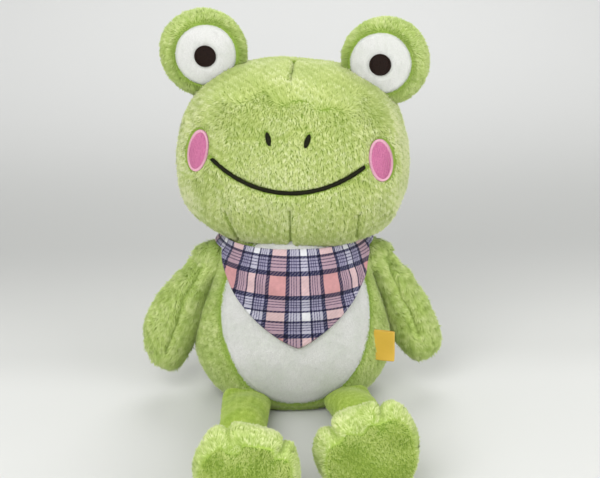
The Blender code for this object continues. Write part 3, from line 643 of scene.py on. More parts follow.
def lifted(surface, u, v):
    """Points of a surface and its outward normals there."""
    step = 0.8 * MM
    one = surface(u + step, v) - surface(u - step, v)
    two = surface(u, v + step) - surface(u, v - step)
    return surface(u, v), unit(np.cross(one, two))


def polar(name, surface, outline, rings, around, matrix, rise, thickness):
    """A sewn-in panel: rings from its middle to its outline, laid on a surface."""
    places = pairs(np.linspace(0, 1, rings + 1)[1:], round_turn(around))
    share, angle = (np.append(0, part) for part in places)
    u, v = outline(share, angle)
    points, normals = lifted(surface, u, v)
    points = points + normals * rise(share)[:, None]
    faces = [(0, 1 + j, 1 + (j + 1) % around) for j in range(around)]
    faces += ring_faces(rings, around, flip=True)
    obj = mesh_object(name, moved(points, matrix), faces)
    thicken(obj, thickness, -1)
    return obj


def tubes(name, paths, normals, width, height):
    """Threads: k paths of m points, each swept by a flat oval that lies on the surface."""
    sides = 5
    k, m, _ = paths.shape
    run = unit(np.gradient(paths, axis=1))
    side = unit(np.cross(run, normals))
    up = np.cross(side, run)
    taper = np.ones(m)
    taper[0] = taper[-1] = 0.55
    taper = taper[None, :, None, None]
    angle = round_turn(sides)
    rings = (
        paths[:, :, None, :]
        + side[:, :, None, :] * (np.cos(angle) * width / 2)[None, None, :, None] * taper
        + up[:, :, None, :] * (np.sin(angle) * height / 2)[None, None, :, None] * taper
    )
    base = np.arange(k)[:, None, None] * m * sides
    ring = base + np.arange(m - 1)[None, :, None] * sides
    spot = np.arange(sides)[None, None, :]
    after = (spot + 1) % sides
    quads = np.stack(
        (ring + spot, ring + after, ring + sides + after, ring + sides + spot), -1
    ).reshape(-1, 4)
    caps = []
    for end in (0, m - 1):
        order = np.arange(sides) if end else np.arange(sides)[::-1]
        caps += (np.arange(k)[:, None] * m * sides + end * sides + order).tolist()
    return mesh_object(name, rings.reshape(-1, 3), quads.tolist() + caps)


def stitches(name, surface, u, v, height, matrix, width, thickness):
    """Threads laid on a surface, each along a row of places, at a height over it."""
    points, normals = lifted(surface, u.ravel(), v.ravel())
    points = points + normals * np.broadcast_to(height, u.shape).ravel()[:, None]
    paths, facing = moved(points, matrix), turned(normals, matrix)
    return tubes(name, paths.reshape(*u.shape, 3), facing.reshape(*u.shape, 3), width, thickness)


# Fur


def scatter(obj, density, source):
    """Random places on a mesh, with its smooth normals there."""
    mesh = obj.data
    mesh.calc_loop_triangles()
    corners = read(mesh.loop_triangles, "vertices", 3, np.int32)
    points, normals = places_of(mesh), normals_of(mesh)
    a, b, c = (points[corners[:, i]] for i in range(3))
    area = np.linalg.norm(np.cross(b - a, c - a), axis=1) / 2
    total = area.sum()
    count = int(total * density)
    # Even spread: one draw in each equal slice of the running area
    draw = (np.arange(count) + source.uniform(0, 1, count)) / count * total
    chosen = np.minimum(np.searchsorted(np.cumsum(area), draw), len(area) - 1)
    one, two = source.uniform(0, 1, count), source.uniform(0, 1, count)
    swap = one + two > 1
    one[swap], two[swap] = 1 - one[swap], 1 - two[swap]
    weights = np.stack((1 - one - two, one, two), 1)[..., None]
    found = corners[chosen]
    return (points[found] * weights).sum(1), unit((normals[found] * weights).sum(1))


def field(points, *parts):
    """A vector for each point, from three parts that are numbers or values at the points."""
    flow = np.zeros_like(points)
    for k, part in enumerate(parts):
        flow[:, k] = part
    return flow


def fur(name, base, body, coat, nap, keep, trim=None, tone_and_painted_shading=None, long=None, stand=None,
        seed=1):
    """Tufts of pile as tapered, bent blades, rooted on a skin and leaning along its nap."""
    source = np.random.default_rng(seed)
    root, normal = scatter(base, coat.density, source)
    held = keep(root, normal)
    root, normal = root[held], normal[held]
    count = len(root)

    def lumps(size, step):
        return waves(root, coat.lock * size, seed + step)

    def bend(size):
        spots = [root]
        for angle in (0.72 * lift, 1.22 * lift):
            spots.append(spots[-1] + size[:, None] * 0.5 * (
                normal * np.cos(angle)[:, None] + flow * np.sin(angle)[:, None]
            ))
        return spots[1:]

    flow = nap(root, normal)
    flow = unit(flow - normal * (flow * normal).sum(1, keepdims=True))
    side = np.cross(flow, normal)
    turn = (
        coat.swirl * lumps(1, 11) + coat.swirl * 0.8 * lumps(3.1, 12)
        + source.normal(0, coat.stray, count)
    )
    flow = flow * np.cos(turn)[:, None] + side * np.sin(turn)[:, None]
    side = np.cross(flow, normal)
    lift = coat.lean * (1 + 0.07 * lumps(1.3, 13))
    lift = np.clip(lift + source.normal(0, 0.08, count), 0.12, 1.32)
    stray = source.uniform(0, 1, count) < 0.10
    lift = np.where(stray, lift * source.uniform(0.45, 0.85, count), lift)
    if stand:
        lift = lift * stand(root)
    length = coat.length * (1 + 0.10 * lumps(1.7, 14)) * source.uniform(0.80, 1.14, count)
    if long:
        length = length * long(root)
    middle, tip = bend(length)
    if trim:
        middle, tip = bend(length * trim(root, tip))
    spin = source.uniform(-0.6, 0.6, count)
    across = side * np.cos(spin)[:, None] + flow * np.sin(spin)[:, None]
    width = coat.width * source.uniform(0.75, 1.25, count)[:, None] / 2
    foot = root - normal * ROOT_DEPTH
    verts = np.stack(
        (foot - across * width, foot + across * width,
         middle - across * width * 0.85, middle + across * width * 0.85, tip), 1,
    )
    verts[..., 2] = np.maximum(verts[..., 2], 0.25 * MM)
    rough = coat.rough * source.uniform(0.6, 1.4, count)[:, None]
    round_off = np.stack((-rough, rough, -rough, rough, 0 * rough), 1)
    shading = unit(normal[:, None, :] + across[:, None, :] * round_off)
    mesh = bpy.data.meshes.new(name)
    mesh.vertices.add(5 * count)
    mesh.loops.add(7 * count)
    mesh.polygons.add(2 * count)
    write(mesh.vertices, "co", verts)
    # Each blade is a four-cornered foot and a three-cornered tip
    picked = (np.arange(count)[:, None] * 5 + np.array((0, 1, 3, 2, 2, 3, 4))).ravel()
    write(mesh.loops, "vertex_index", picked, np.int32)
    starts = np.arange(count)[:, None] * 7 + np.array((0, 4))
    write(mesh.polygons, "loop_start", starts, np.int32)
    mesh.update(calc_edges=True)
    mesh.shade_smooth()
    mesh.normals_split_custom_set_from_vertices(shading.reshape(-1, 3).tolist())
    obj = linked(name, mesh)

    tint = (
        0.56 + 0.15 * lumps(0.8, 15) + 0.09 * waves(root, 24 * MM, seed + 16)
        + source.normal(0, 0.07, count)
    )
    # Each skin's own tone, with painted shade in its seams and creases and painted light on its
    # more lit parts
    if tone_and_painted_shading:
        tint = tint * tone_and_painted_shading(root)
    # Painted shade at the roots: each blade darker at its foot than at its tip
    shade = np.clip(tint[:, None] * np.array((0.45, 0.45, 0.85, 0.85, 1.14)), 0.02, 0.98)
    layer = mesh.attributes.new("shade", "FLOAT", "POINT")
    write(layer.data, "value", shade)
    tone = np.stack((shade, np.repeat(np.clip(tint, 0.02, 0.98)[:, None], 5, 1)), -1)
    jog = np.array(((0.0, 0.0), (0.002, 0.0), (0.0, 0.002), (0.002, 0.002), (0.001, 0.003)))
    strand = mesh.uv_layers.new(name="OFBake")
    tone = (tone + jog).reshape(-1, 2)
    write(strand.data, "uv", tone[picked])
    sewn(obj, body, (coat.material,))


# Materials


def set_inputs(node, **values):
    """Sets inputs of a node, with _ in their names for each space."""
    for name, value in values.items():
        node.inputs[name.replace("_", " ")].default_value = value


def new_material(name, roughness, **values):
    mat = bpy.data.materials.new(name)
    mat.use_nodes = True
    shader = mat.node_tree.nodes["Principled BSDF"]
    set_inputs(shader, Roughness=roughness, **values)
    return mat, mat.node_tree, shader


def plugged(tree, sockets, values):
    """Gives each socket its value: a number, a colour or another node's output."""
    for socket, value in zip(sockets, values):
        if isinstance(value, (int, float)):
            socket.default_value = value
        elif isinstance(value, tuple):
            socket.default_value = (*value, 1)
        else:
            tree.links.new(value, socket)


def ramp(tree, source, stops, mode="LINEAR"):
    """Colours along a value."""
    node = tree.nodes.new("ShaderNodeValToRGB")
    node.color_ramp.interpolation = mode
    marks = node.color_ramp.elements
    while len(marks) < len(stops):
        marks.new(0.5)
    for mark, (place, _) in zip(marks, stops):
        mark.position = place
    for mark, (_, color) in zip(marks, stops):
        mark.color = (*color, 1)
    tree.links.new(source, node.inputs["Fac"])
    return node.outputs["Color"]


def object_place(tree):
    return tree.nodes.new("ShaderNodeTexCoord").outputs["Object"]


def noise(tree, scale, detail):
    node = tree.nodes.new("ShaderNodeTexNoise")
    set_inputs(node, Scale=scale, Detail=detail)
    tree.links.new(object_place(tree), node.inputs["Vector"])
    return node.outputs["Fac"]


def mix(tree, mode, factor, one, two):
    node = tree.nodes.new("ShaderNodeMix")
    node.data_type = "RGBA"
    node.blend_type = mode
    plugged(tree, (node.inputs[0], node.inputs[6], node.inputs[7]), (factor, one, two))
    return node.outputs[2]


def math_node(tree, operation, *values, clamp=False):
    node = tree.nodes.new("ShaderNodeMath")
    node.operation = operation
    node.use_clamp = clamp
    plugged(tree, node.inputs, values)
    return node.outputs[0]


def worked(tree, shader, color, height=None, strength=0.0, distance=0.0):
    """Gives a shader its colour and a fine relief."""
    tree.links.new(color, shader.inputs["Base Color"])
    if height is not None:
        node = tree.nodes.new("ShaderNodeBump")
        set_inputs(node, Strength=strength, Distance=distance)
        tree.links.new(height, node.inputs["Height"])
        tree.links.new(node.outputs["Normal"], shader.inputs["Normal"])


def pile_material(name, dark, mid, light, sheen=0.25, tint=(1, 1, 0.85)):
    """The blades' own material: painted shade darkening it at the root, light at the tip, a little
    uneven.
    """
    mat, tree, shader = new_material(
        name, 0.85, Specular_IOR_Level=0.25, Sheen_Weight=sheen, Sheen_Roughness=0.45,
        Sheen_Tint=(*tint, 1),
    )
    shade = tree.nodes.new("ShaderNodeAttribute")
    shade.attribute_name = "shade"
    # Painted shade: the blade's root end dark, its tip light
    along = ramp(tree, shade.outputs["Fac"], ((0.0, dark), (0.48, mid), (0.95, light)))
    patches = noise(tree, 55.0, 3.0)
    spread = ramp(tree, patches, ((0.35, (0.90, 0.93, 0.88)), (0.65, (1.0, 1.0, 1.0))))
    worked(tree, shader, mix(tree, "MULTIPLY", 1.0, along, spread))
    return mat


def fibre_material(name, dark, light, roughness, scale, detail, high, strength, distance):
    """Fine fibres of two shades with a relief."""
    mat, tree, shader = new_material(name, roughness, Specular_IOR_Level=0.2)
    fine = noise(tree, scale, detail)
    worked(tree, shader, ramp(tree, fine, ((0.3, dark), (high, light))), fine, strength, distance)
    return mat


def backing_material(name, dark, light):
    """The knitted backing at the roots of the pile."""
    return fibre_material(name, dark, light, 0.95, 900.0, 4.0, 0.7, 0.6, 0.6 * MM)


def thread_material(name, dark, light, roughness=0.42):
    """Embroidery thread: twisted fibres with a soft shine."""
    return fibre_material(name, dark, light, roughness, 1500.0, 3.0, 0.72, 0.35, 0.2 * MM)


NAVY = (0.024, 0.024, 0.100)
SALMON = (0.770, 0.515, 0.520)
WHITE = (0.860, 0.860, 0.880)
LILAC = (0.530, 0.510, 0.620)
DUSK = (0.130, 0.120, 0.230)
# One repeat of the check: where each coloured yarn starts, as a share of the repeat
CHECK = (
    (0.000, NAVY), (0.070, SALMON), (0.370, NAVY), (0.440, LILAC), (0.468, DUSK),
    (0.482, LILAC), (0.511, DUSK), (0.525, LILAC), (0.554, DUSK), (0.568, LILAC),
    (0.618, NAVY), (0.652, WHITE), (0.788, NAVY), (0.822, LILAC), (0.850, DUSK),
    (0.864, LILAC), (0.893, DUSK), (0.907, LILAC), (0.936, DUSK), (0.950, LILAC),
)
# Yarns in one repeat, across and down
YARNS = (60.0, 60.0 * 1.27)


def plaid_material():
    """Yarn-dyed check in twill: each point shows either its upright or its level yarn."""
    mat, tree, shader = new_material(
        "plaid_twill", 0.82, Specular_IOR_Level=0.25, Sheen_Weight=0.12
    )
    place = tree.nodes.new("ShaderNodeUVMap")
    place.uv_map = "Cloth"
    split = tree.nodes.new("ShaderNodeSeparateXYZ")
    tree.links.new(place.outputs["UV"], split.inputs["Vector"])
    across, down_cloth = split.outputs["X"], split.outputs["Y"]
    yarns = [
        ramp(tree, math_node(tree, "FRACT", part), CHECK, "CONSTANT")
        for part in (across, down_cloth)
    ]
    # The yarns cross two over, two under
    diagonal = math_node(
        tree, "ADD", math_node(tree, "MULTIPLY", across, YARNS[0]),
        math_node(tree, "MULTIPLY", down_cloth, YARNS[1]),
    )
    wale = math_node(tree, "SINE", math_node(tree, "MULTIPLY", diagonal, math.pi / 2))
    over = math_node(tree, "MULTIPLY_ADD", wale, 0.9, 0.5, clamp=True)
    top = mix(tree, "MIX", over, *yarns)
    through = mix(tree, "MULTIPLY", 1.0, *yarns)
    color = mix(tree, "MIX", 0.17, through, top)
    wear = ramp(tree, noise(tree, 300.0, 4.0), ((0.3, (0.86, 0.86, 0.88)), (0.7, (1.0, 1.0, 1.0))))
    color = mix(tree, "MULTIPLY", 1.0, color, wear)
    upright, level = (
        math_node(tree, "SINE", math_node(tree, "MULTIPLY", part, count * math.tau))
        for part, count in zip((across, down_cloth), YARNS)
    )
    weave = math_node(tree, "ADD", wale, math_node(tree, "ADD", upright, level))
    worked(tree, shader, color, weave, 0.35, 0.12 * MM)
    return mat


def ribbon_material():
    mat, tree, shader = new_material("ribbon_weave", 0.55, Sheen_Weight=0.2)
    wave = tree.nodes.new("ShaderNodeTexWave")
    wave.bands_direction = "Z"
    set_inputs(wave, Scale=420.0, Distortion=0.6)
    tree.links.new(object_place(tree), wave.inputs["Vector"])
    ribs = wave.outputs["Fac"]
    color = ramp(tree, ribs, ((0.0, (0.60, 0.36, 0.03)), (1.0, (0.78, 0.50, 0.06))))
    worked(tree, shader, color, ribs, 0.5, 0.15 * MM)
    return mat


GREEN_PILE = pile_material(
    "green_pile", (0.27, 0.40, 0.06), (0.49, 0.63, 0.165), (0.72, 0.80, 0.36)
)
HEAD_PILE = pile_material(
    "head_pile", (0.36, 0.48, 0.09), (0.57, 0.67, 0.22), (0.83, 0.87, 0.49)
)
LEG_PILE = pile_material(
    "leg_pile", (0.28, 0.44, 0.03), (0.45, 0.62, 0.08), (0.63, 0.77, 0.18), 0.2
)
TOE_PILE = pile_material(
    "toe_pile", (0.30, 0.44, 0.06), (0.55, 0.69, 0.19), (0.82, 0.88, 0.44)
)
SOLE_PILE = pile_material(
    "sole_pile", (0.16, 0.27, 0.028), (0.35, 0.49, 0.075), (0.60, 0.70, 0.22), 0.12
)
WHITE_PILE = pile_material(
    "white_pile", (0.72, 0.73, 0.70), (0.84, 0.84, 0.82), (0.90, 0.90, 0.89), 0.1, (1, 1, 1)
)
GREEN_BACKING = backing_material("green_backing", (0.21, 0.32, 0.045), (0.31, 0.44, 0.085))
LEG_BACKING = backing_material("leg_backing", (0.26, 0.43, 0.04), (0.36, 0.56, 0.08))
TOE_BACKING = backing_material("toe_backing", (0.34, 0.48, 0.08), (0.46, 0.62, 0.14))
SOLE_BACKING = backing_material("sole_backing", (0.15, 0.26, 0.03), (0.26, 0.41, 0.06))
WHITE_BACKING = backing_material("white_backing", (0.70, 0.70, 0.68), (0.80, 0.80, 0.78))
BROWN_THREAD = thread_material("brown_thread", (0.008, 0.004, 0.003), (0.026, 0.011, 0.007), 0.6)
BLACK_THREAD = thread_material("olive_thread", (0.006, 0.006, 0.002), (0.018, 0.018, 0.004), 0.6)
PINK_THREAD = thread_material("rose_thread", (0.48, 0.12, 0.27), (0.74, 0.26, 0.44))
PALE_THREAD = thread_material("pale_rose_thread", (0.70, 0.34, 0.47), (0.85, 0.50, 0.60))
PLAID = plaid_material()
RIBBON_WEAVE = ribbon_material()

# Blade length and width, blades to a square metre, lean from upright, turn of whole locks and of
# single blades, size of a lock, how round a blade shades, and its material
Coat = namedtuple("Coat", "length width density lean swirl stray lock rough material")
COATS = {
    "head": Coat(3.3 * MM, 0.85 * MM, 1.45e6, 1.18, 0.30, 0.22, 4.6 * MM, 0.34, HEAD_PILE),
    "torso": Coat(3.1 * MM, 0.85 * MM, 1.4e6, 1.18, 0.30, 0.22, 5.0 * MM, 0.34, GREEN_PILE),
    "eye": Coat(3.5 * MM, 0.80 * MM, 1.4e6, 1.08, 0.34, 0.24, 4.4 * MM, 0.36, GREEN_PILE),
    "arm": Coat(5.2 * MM, 0.85 * MM, 1.45e6, 1.18, 0.32, 0.20, 6.0 * MM, 0.34, GREEN_PILE),
    "leg": Coat(2.0 * MM, 0.75 * MM, 1.5e6, 1.22, 0.16, 0.16, 7.0 * MM, 0.22, LEG_PILE),
    "toe": Coat(3.4 * MM, 0.80 * MM, 1.5e6, 1.12, 0.35, 0.26, 4.0 * MM, 0.34, TOE_PILE),
    "sole": Coat(2.3 * MM, 0.75 * MM, 1.6e6, 1.02, 0.60, 0.42, 3.2 * MM, 0.45, SOLE_PILE),
    "white": Coat(1.5 * MM, 0.60 * MM, 1.7e6, 1.15, 0.30, 0.30, 4.0 * MM, 0.25, WHITE_PILE),
}

HEAD = head_form()
TORSO = torso_form()
EYE = eye_form()
HEAD_PLACE = head_matrix()
BELLY_MIDDLE = (BELLY_HIGH + BELLY_LOW) / 2
BELLY_HALF = (BELLY_HIGH - BELLY_LOW) / 2
WHITE_RADIUS = EYE_WHITE_DIAMETER / 2
PUPIL_RADIUS = PUPIL_DIAMETER / 2


def mouth_path(count):
    return np.array([
        (s * MOUTH_WIDTH / 2, MOUTH_HEIGHT - MOUTH_DROP * (1 - s * s))
        for s in np.linspace(-1, 1, count)
    ])


MOUTH_PATH = mouth_path(41)


def sideways(normals):
    """How far each place faces left or right."""
    return steps(0.40, 0.85, np.abs(normals[:, 0]))


def down(points, normals):
    """The pile falls downwards, a little forwards on top and backwards at the sides."""
    return field(points, 0, -0.25 + 0.95 * sideways(normals), -1)


def belly_distance(points):
    """Signed distance from the belly panel's edge, below zero inside, large behind."""
    ring = np.hypot(points[:, 0] / (BELLY_WIDTH / 2), (points[:, 2] - BELLY_MIDDLE) / BELLY_HALF)
    return np.where(points[:, 1] < 0, (ring - 1) * BELLY_WIDTH / 2, FAR)


def bandana_edges(turn):
    """Upper and lower edge heights of the bandana at an angle from the front."""
    side = np.minimum(np.abs(turn) / BANDANA_REACH, 1)
    top = BANDANA_NECK_SIDE - (BANDANA_NECK_SIDE - BANDANA_NECK_FRONT) * (1 - side)
    band = top - BANDANA_BAND
    hang = BANDANA_TIP + (band - BANDANA_TIP) * side ** BANDANA_ROUND
    return top, np.minimum(hang, band)


def under_bandana(points, margin):
    """Whether a point of the body is covered by the bandana, by more than a margin."""
    row = TORSO.level(points[:, 2])
    turn = np.arctan2(points[:, 0], -(points[:, 1] - row[:, 4]))
    top, low = bandana_edges(turn)
    return (points[:, 2] > low + margin) & (points[:, 2] < top - margin)


def stage():
    """Pale floor and backdrop in one sweep, a camera and soft light."""
    front, bend, radius, height, half = -2.2, 0.75, 0.9, 3.2, 3.0
    profile = [(front, STAGE_LOW), (bend, STAGE_LOW)]
    for k in range(1, 13):
        angle = k / 12 * math.pi / 2
        profile.append(
            (bend + radius * math.sin(angle), STAGE_LOW + radius * (1 - math.cos(angle)))
        )
    profile.append((bend + radius, height))
    verts = [(x, y, z) for y, z in profile for x in (-half, half)]
    floor = mesh_object("floor_sweep", verts, grid_faces(len(profile), 2))
    mat, tree, shader = new_material("pale_paper", 0.9, Specular_IOR_Level=0.1)
    place = tree.nodes.new("ShaderNodeSeparateXYZ")
    tree.links.new(object_place(tree), place.inputs["Vector"])
    # Painted shade on the paper along its depth
    depth = math_node(tree, "MULTIPLY", place.outputs["Y"], 0.6)
    worked(tree, shader, ramp(tree, depth, PAPER_PAINTED_SHADE, "EASE"))
    floor.data.materials.append(mat)

    scene = bpy.context.scene
    scene.world = bpy.data.worlds.new("soft_room")
    scene.world.use_nodes = True
    light = scene.world.node_tree.nodes["Background"]
    set_inputs(light, Color=(1.0, 1.0, 0.99, 1), Strength=0.69)
    for name, spot, size, power in LAMPS:
        data = bpy.data.lights.new(name, "AREA")
        data.shape = "DISK"
        data.size = size
        data.energy = power
        lamp = linked(name, data)
        lamp.location = spot
        lamp.rotation_euler = (LAMP_AIM - Vector(spot)).to_track_quat("-Z", "Y").to_euler()

    azimuth, elevation = CAMERA_ANGLES
    back = Vector((
        math.sin(azimuth) * math.cos(elevation), -math.cos(azimuth) * math.cos(elevation),
        math.sin(elevation),
    ))
    data = bpy.data.cameras.new("camera")
    data.sensor_width = 36
    data.lens = CAMERA_LENS
    scene.camera = linked("camera", data)
    scene.camera.location = CAMERA_AIM + back * CAMERA_DISTANCE
    scene.camera.rotation_euler = (-back).to_track_quat("-Z", "Y").to_euler()
    scene.view_settings.view_transform = "Standard"


def make_torso():
    def change(points, normals):
        far = belly_distance(points)
        inset = 1.5 * MM * steps(0, 8 * MM, points[:, 2])
        panel = 2.4 * MM * steps(-0.5 * MM, -3.5 * MM, far)
        seam = fade(far, 1.0 * MM, 1.2 * MM)
        behind = np.where(points[:, 1] > 0, fade(points[:, 0], 1.5 * MM, 2.2 * MM), 0)
        sole = fade(points[:, 2] - LOW_SEAM, 1.6 * MM, 1.5 * MM)
        lumps = 0.5 * MM * waves(points, 0.034, 3) * steps(0, 12 * MM, points[:, 2])
        return lumps - inset - panel - seam - behind - sole

    torso = skin("torso_plush", TORSO, 224, 150, Matrix(), change)
    raised(torso, 0.2 * MM)
    sewn(torso, "torso", (GREEN_BACKING,), ("torso_skin", "torso_stuffing"))

    def keep(root, normal):
        neck = np.linalg.norm(root - np.array(neck_centre()), axis=1)
        covered = (neck < NECK_RADIUS) & (root[:, 2] > COLLAR_HEIGHT)
        underneath = (normal[:, 2] < -0.8) & (root[:, 2] < 2 * MM)
        bare = covered | underneath | under_bandana(root, 3 * MM)
        return (belly_distance(root) > -0.3 * MM) & ~bare

    def trim(root, tip):
        size = 1 - fade(belly_distance(root), 0.40, 1.8 * MM)
        size = np.where(under_bandana(root, -1 * MM), size * 0.55, size)
        return np.where(tip[:, 2] < 0.4 * MM, size * 0.45, size)

    def tone_and_painted_shading(root):
        # Painted shade in the grooves of the belly seam, the back seam and the low seam
        dark = fade(belly_distance(root), 0.48, 1.5 * MM)
        dark += np.where(root[:, 1] > 0, fade(root[:, 0], 0.35, 1.8 * MM), 0)
        dark += fade(root[:, 2] - LOW_SEAM, 0.55, 1.5 * MM)
        return 1.13 - dark

    for part, ahead, seed in (("front", True, 21), ("back", False, 22)):
        def half(root, normal, ahead=ahead):
            return keep(root, normal) & ((root[:, 1] < 0) == ahead)

        fur(f"torso_fur_{part}", torso, "torso", COATS["torso"], down, half,
            trim, tone_and_painted_shading, seed=seed)

    def outline(share, angle):
        return (
            share * BELLY_WIDTH / 2 * np.cos(angle),
            BELLY_MIDDLE + share * BELLY_HALF * np.sin(angle),
        )

    def rise(share):
        return -1.4 * MM - fade((1 - share) * BELLY_WIDTH / 2, 1.3 * MM, 2.2 * MM)

    panel = polar("belly_plush", TORSO.front, outline, 56, 200, Matrix(), rise, 1.0 * MM)
    sewn(panel, "torso", (WHITE_BACKING,), ("belly_panel",))

    def keep_panel(root, normal):
        return ~under_bandana(root, 4 * MM) & (root[:, 2] < PANEL_FUR_TOP)

    def trim_panel(root, tip):
        return np.where(under_bandana(root, -0.5 * MM), 0.5, 1.0)

    fur("belly_fur", panel, "torso", COATS["white"], down, keep_panel,
        trim_panel, seed=31)


def face_marks(x, z):
    """Signed distance from the nearest embroidered shape of the face."""
    far = to_path(np.stack((x, z), 1), MOUTH_PATH) - MOUTH_LINE / 2
    for _, side in SIDES:
        for spot, size, turn in (nostril_shape(side), cheek_shape(side)):
            far = np.minimum(far, to_oval(x, z, spot, size, turn))
    return far


def nostril_shape(side):
    """Middle, width and length, and turn."""
    spot = (side * NOSTRIL_APART / 2, NOSTRIL_HEIGHT)
    return spot, (NOSTRIL_WIDE, NOSTRIL_LONG), -side * NOSTRIL_TURN


def cheek_shape(side):
    spot = (side * CHEEK_APART / 2, CHEEK_HEIGHT)
    return spot, (CHEEK_WIDE, CHEEK_LONG), side * CHEEK_TURN


def make_head():
    def lines(points):
        """Distances from the darts, the creases and the back's seam, each on its own side."""
        flat = points[:, (0, 2)]
        darts, creases = (
            np.minimum.reduce([to_path(flat, path) for path in paths])
            for paths in ((FOREHEAD_DART, *CHIN_DARTS), FACE_CREASES)
        )
        ahead = points[:, 1] < FACE_FRONT
        back = np.abs(points[:, 0]) + 0.1 * (points[:, 2] < BACK_SEAM_LOW)
        return (
            np.where(ahead, darts, FAR), np.where(ahead, creases, FAR),
            np.where(points[:, 1] > BACK_SEAM_FROM, back, FAR),
        )

    def change(points, normals):
        darts, creases, back = lines(points)
        marks = face_marks(points[:, 0], points[:, 2])
        marks = np.where(points[:, 1] < FACE_FRONT, marks, FAR)
        side_seam = fade(points[:, 1] - HEAD_SEAM_BACK, 0.9 * MM, 1.8 * MM)
        lumps = 0.55 * MM * waves(points, 0.036, 5)
        sunk = 1.3 * MM * steps(4.5 * MM, 0.0, marks)
        return (
            lumps - 1.5 * MM - side_seam - sunk - fade(darts, 3.2 * MM, 1.9 * MM)
            - fade(creases, 0.9 * MM, 2.6 * MM) - fade(back, 1.4 * MM, 1.8 * MM)
        )

    head = skin("head_plush", HEAD, 300, 190, HEAD_PLACE, change)
    sewn(head, "head", (GREEN_BACKING,),
         ("face_panel", "head_back", "head_stuffing"))
    eye_places = [eye_matrix(name, side) for name, side in SIDES]

    def keep(root, normal):
        local = unmoved(root, HEAD_PLACE)
        neck = np.linalg.norm(root - np.array(neck_centre()), axis=1)
        held = neck > NECK_RADIUS - 1 * MM
        marks = face_marks(local[:, 0], local[:, 2])
        held &= ~((marks < 0.2 * MM) & (local[:, 1] < FACE_FRONT))
        for place in eye_places:
            held &= ~EYE.inside(unmoved(root, place), 3.2 * MM)
        return held

    def trim(root, tip):
        local, end = unmoved(root, HEAD_PLACE), unmoved(tip, HEAD_PLACE)
        near = face_marks(local[:, 0], local[:, 2])
        over = face_marks(end[:, 0], end[:, 2])
        ahead = local[:, 1] < FACE_FRONT
        size = np.where(ahead & (over < 0.5 * MM), 0.42, 1.0)
        size *= np.where(ahead, 1 - 0.35 * steps(2.5 * MM, 0.2 * MM, near), 1.0)
        darts, _, back = lines(local)
        return size * (1 - fade(np.minimum(darts, back), 0.60, 1.5 * MM))

    def tone_and_painted_shading(root):
        local = unmoved(root, HEAD_PLACE)
        darts, creases, back = lines(local)
        # Painted shade in the darts, the creases and the seams at the back and the sides
        dark = fade(darts, 0.78, 1.4 * MM)
        dark += fade(creases, 0.55, 1.5 * MM)
        dark += fade(back, 0.40, 1.5 * MM)
        dark += fade(local[:, 1] - HEAD_SEAM_BACK, 0.18, 1.4 * MM)
        # Painted light on the lower face, in front
        pale = steps(*CHIN_PAINTED_LIGHT, local[:, 2]) * (local[:, 1] < HEAD_SEAM_BACK)
        ripple = 0.10 * waves(local * np.array((0.35, 0.6, 1.0)), 0.0062, 77)
        # Painted light on the head's sides, paler towards their edges
        edge = 0.50 * steps(*TEMPLE_PAINTED_LIGHT, np.abs(local[:, 0]))
        return 0.96 + 0.15 * pale + ripple + edge - np.minimum(dark, 0.8)

    def nap(points, normals):
        """Down the face and the back, back over the crown and back at the sides."""
        crown = steps(0.36, 0.74, normals[:, 2] + 0.10 * waves(points, 0.022, 46))
        back = crown + 0.9 * sideways(normals) * (points[:, 1] < 0)
        return field(points, 0, back, crown - 1)

    for part, ahead, seed in (("face", True, 41), ("crown", False, 42)):
        def half(root, normal, ahead=ahead):
            local = unmoved(root, HEAD_PLACE)
            return keep(root, normal) & ((local[:, 1] < HEAD_SEAM_BACK) == ahead)

        fur(f"{part}_fur", head, "head", COATS["head"], nap, half, trim, tone_and_painted_shading,
            seed=seed)


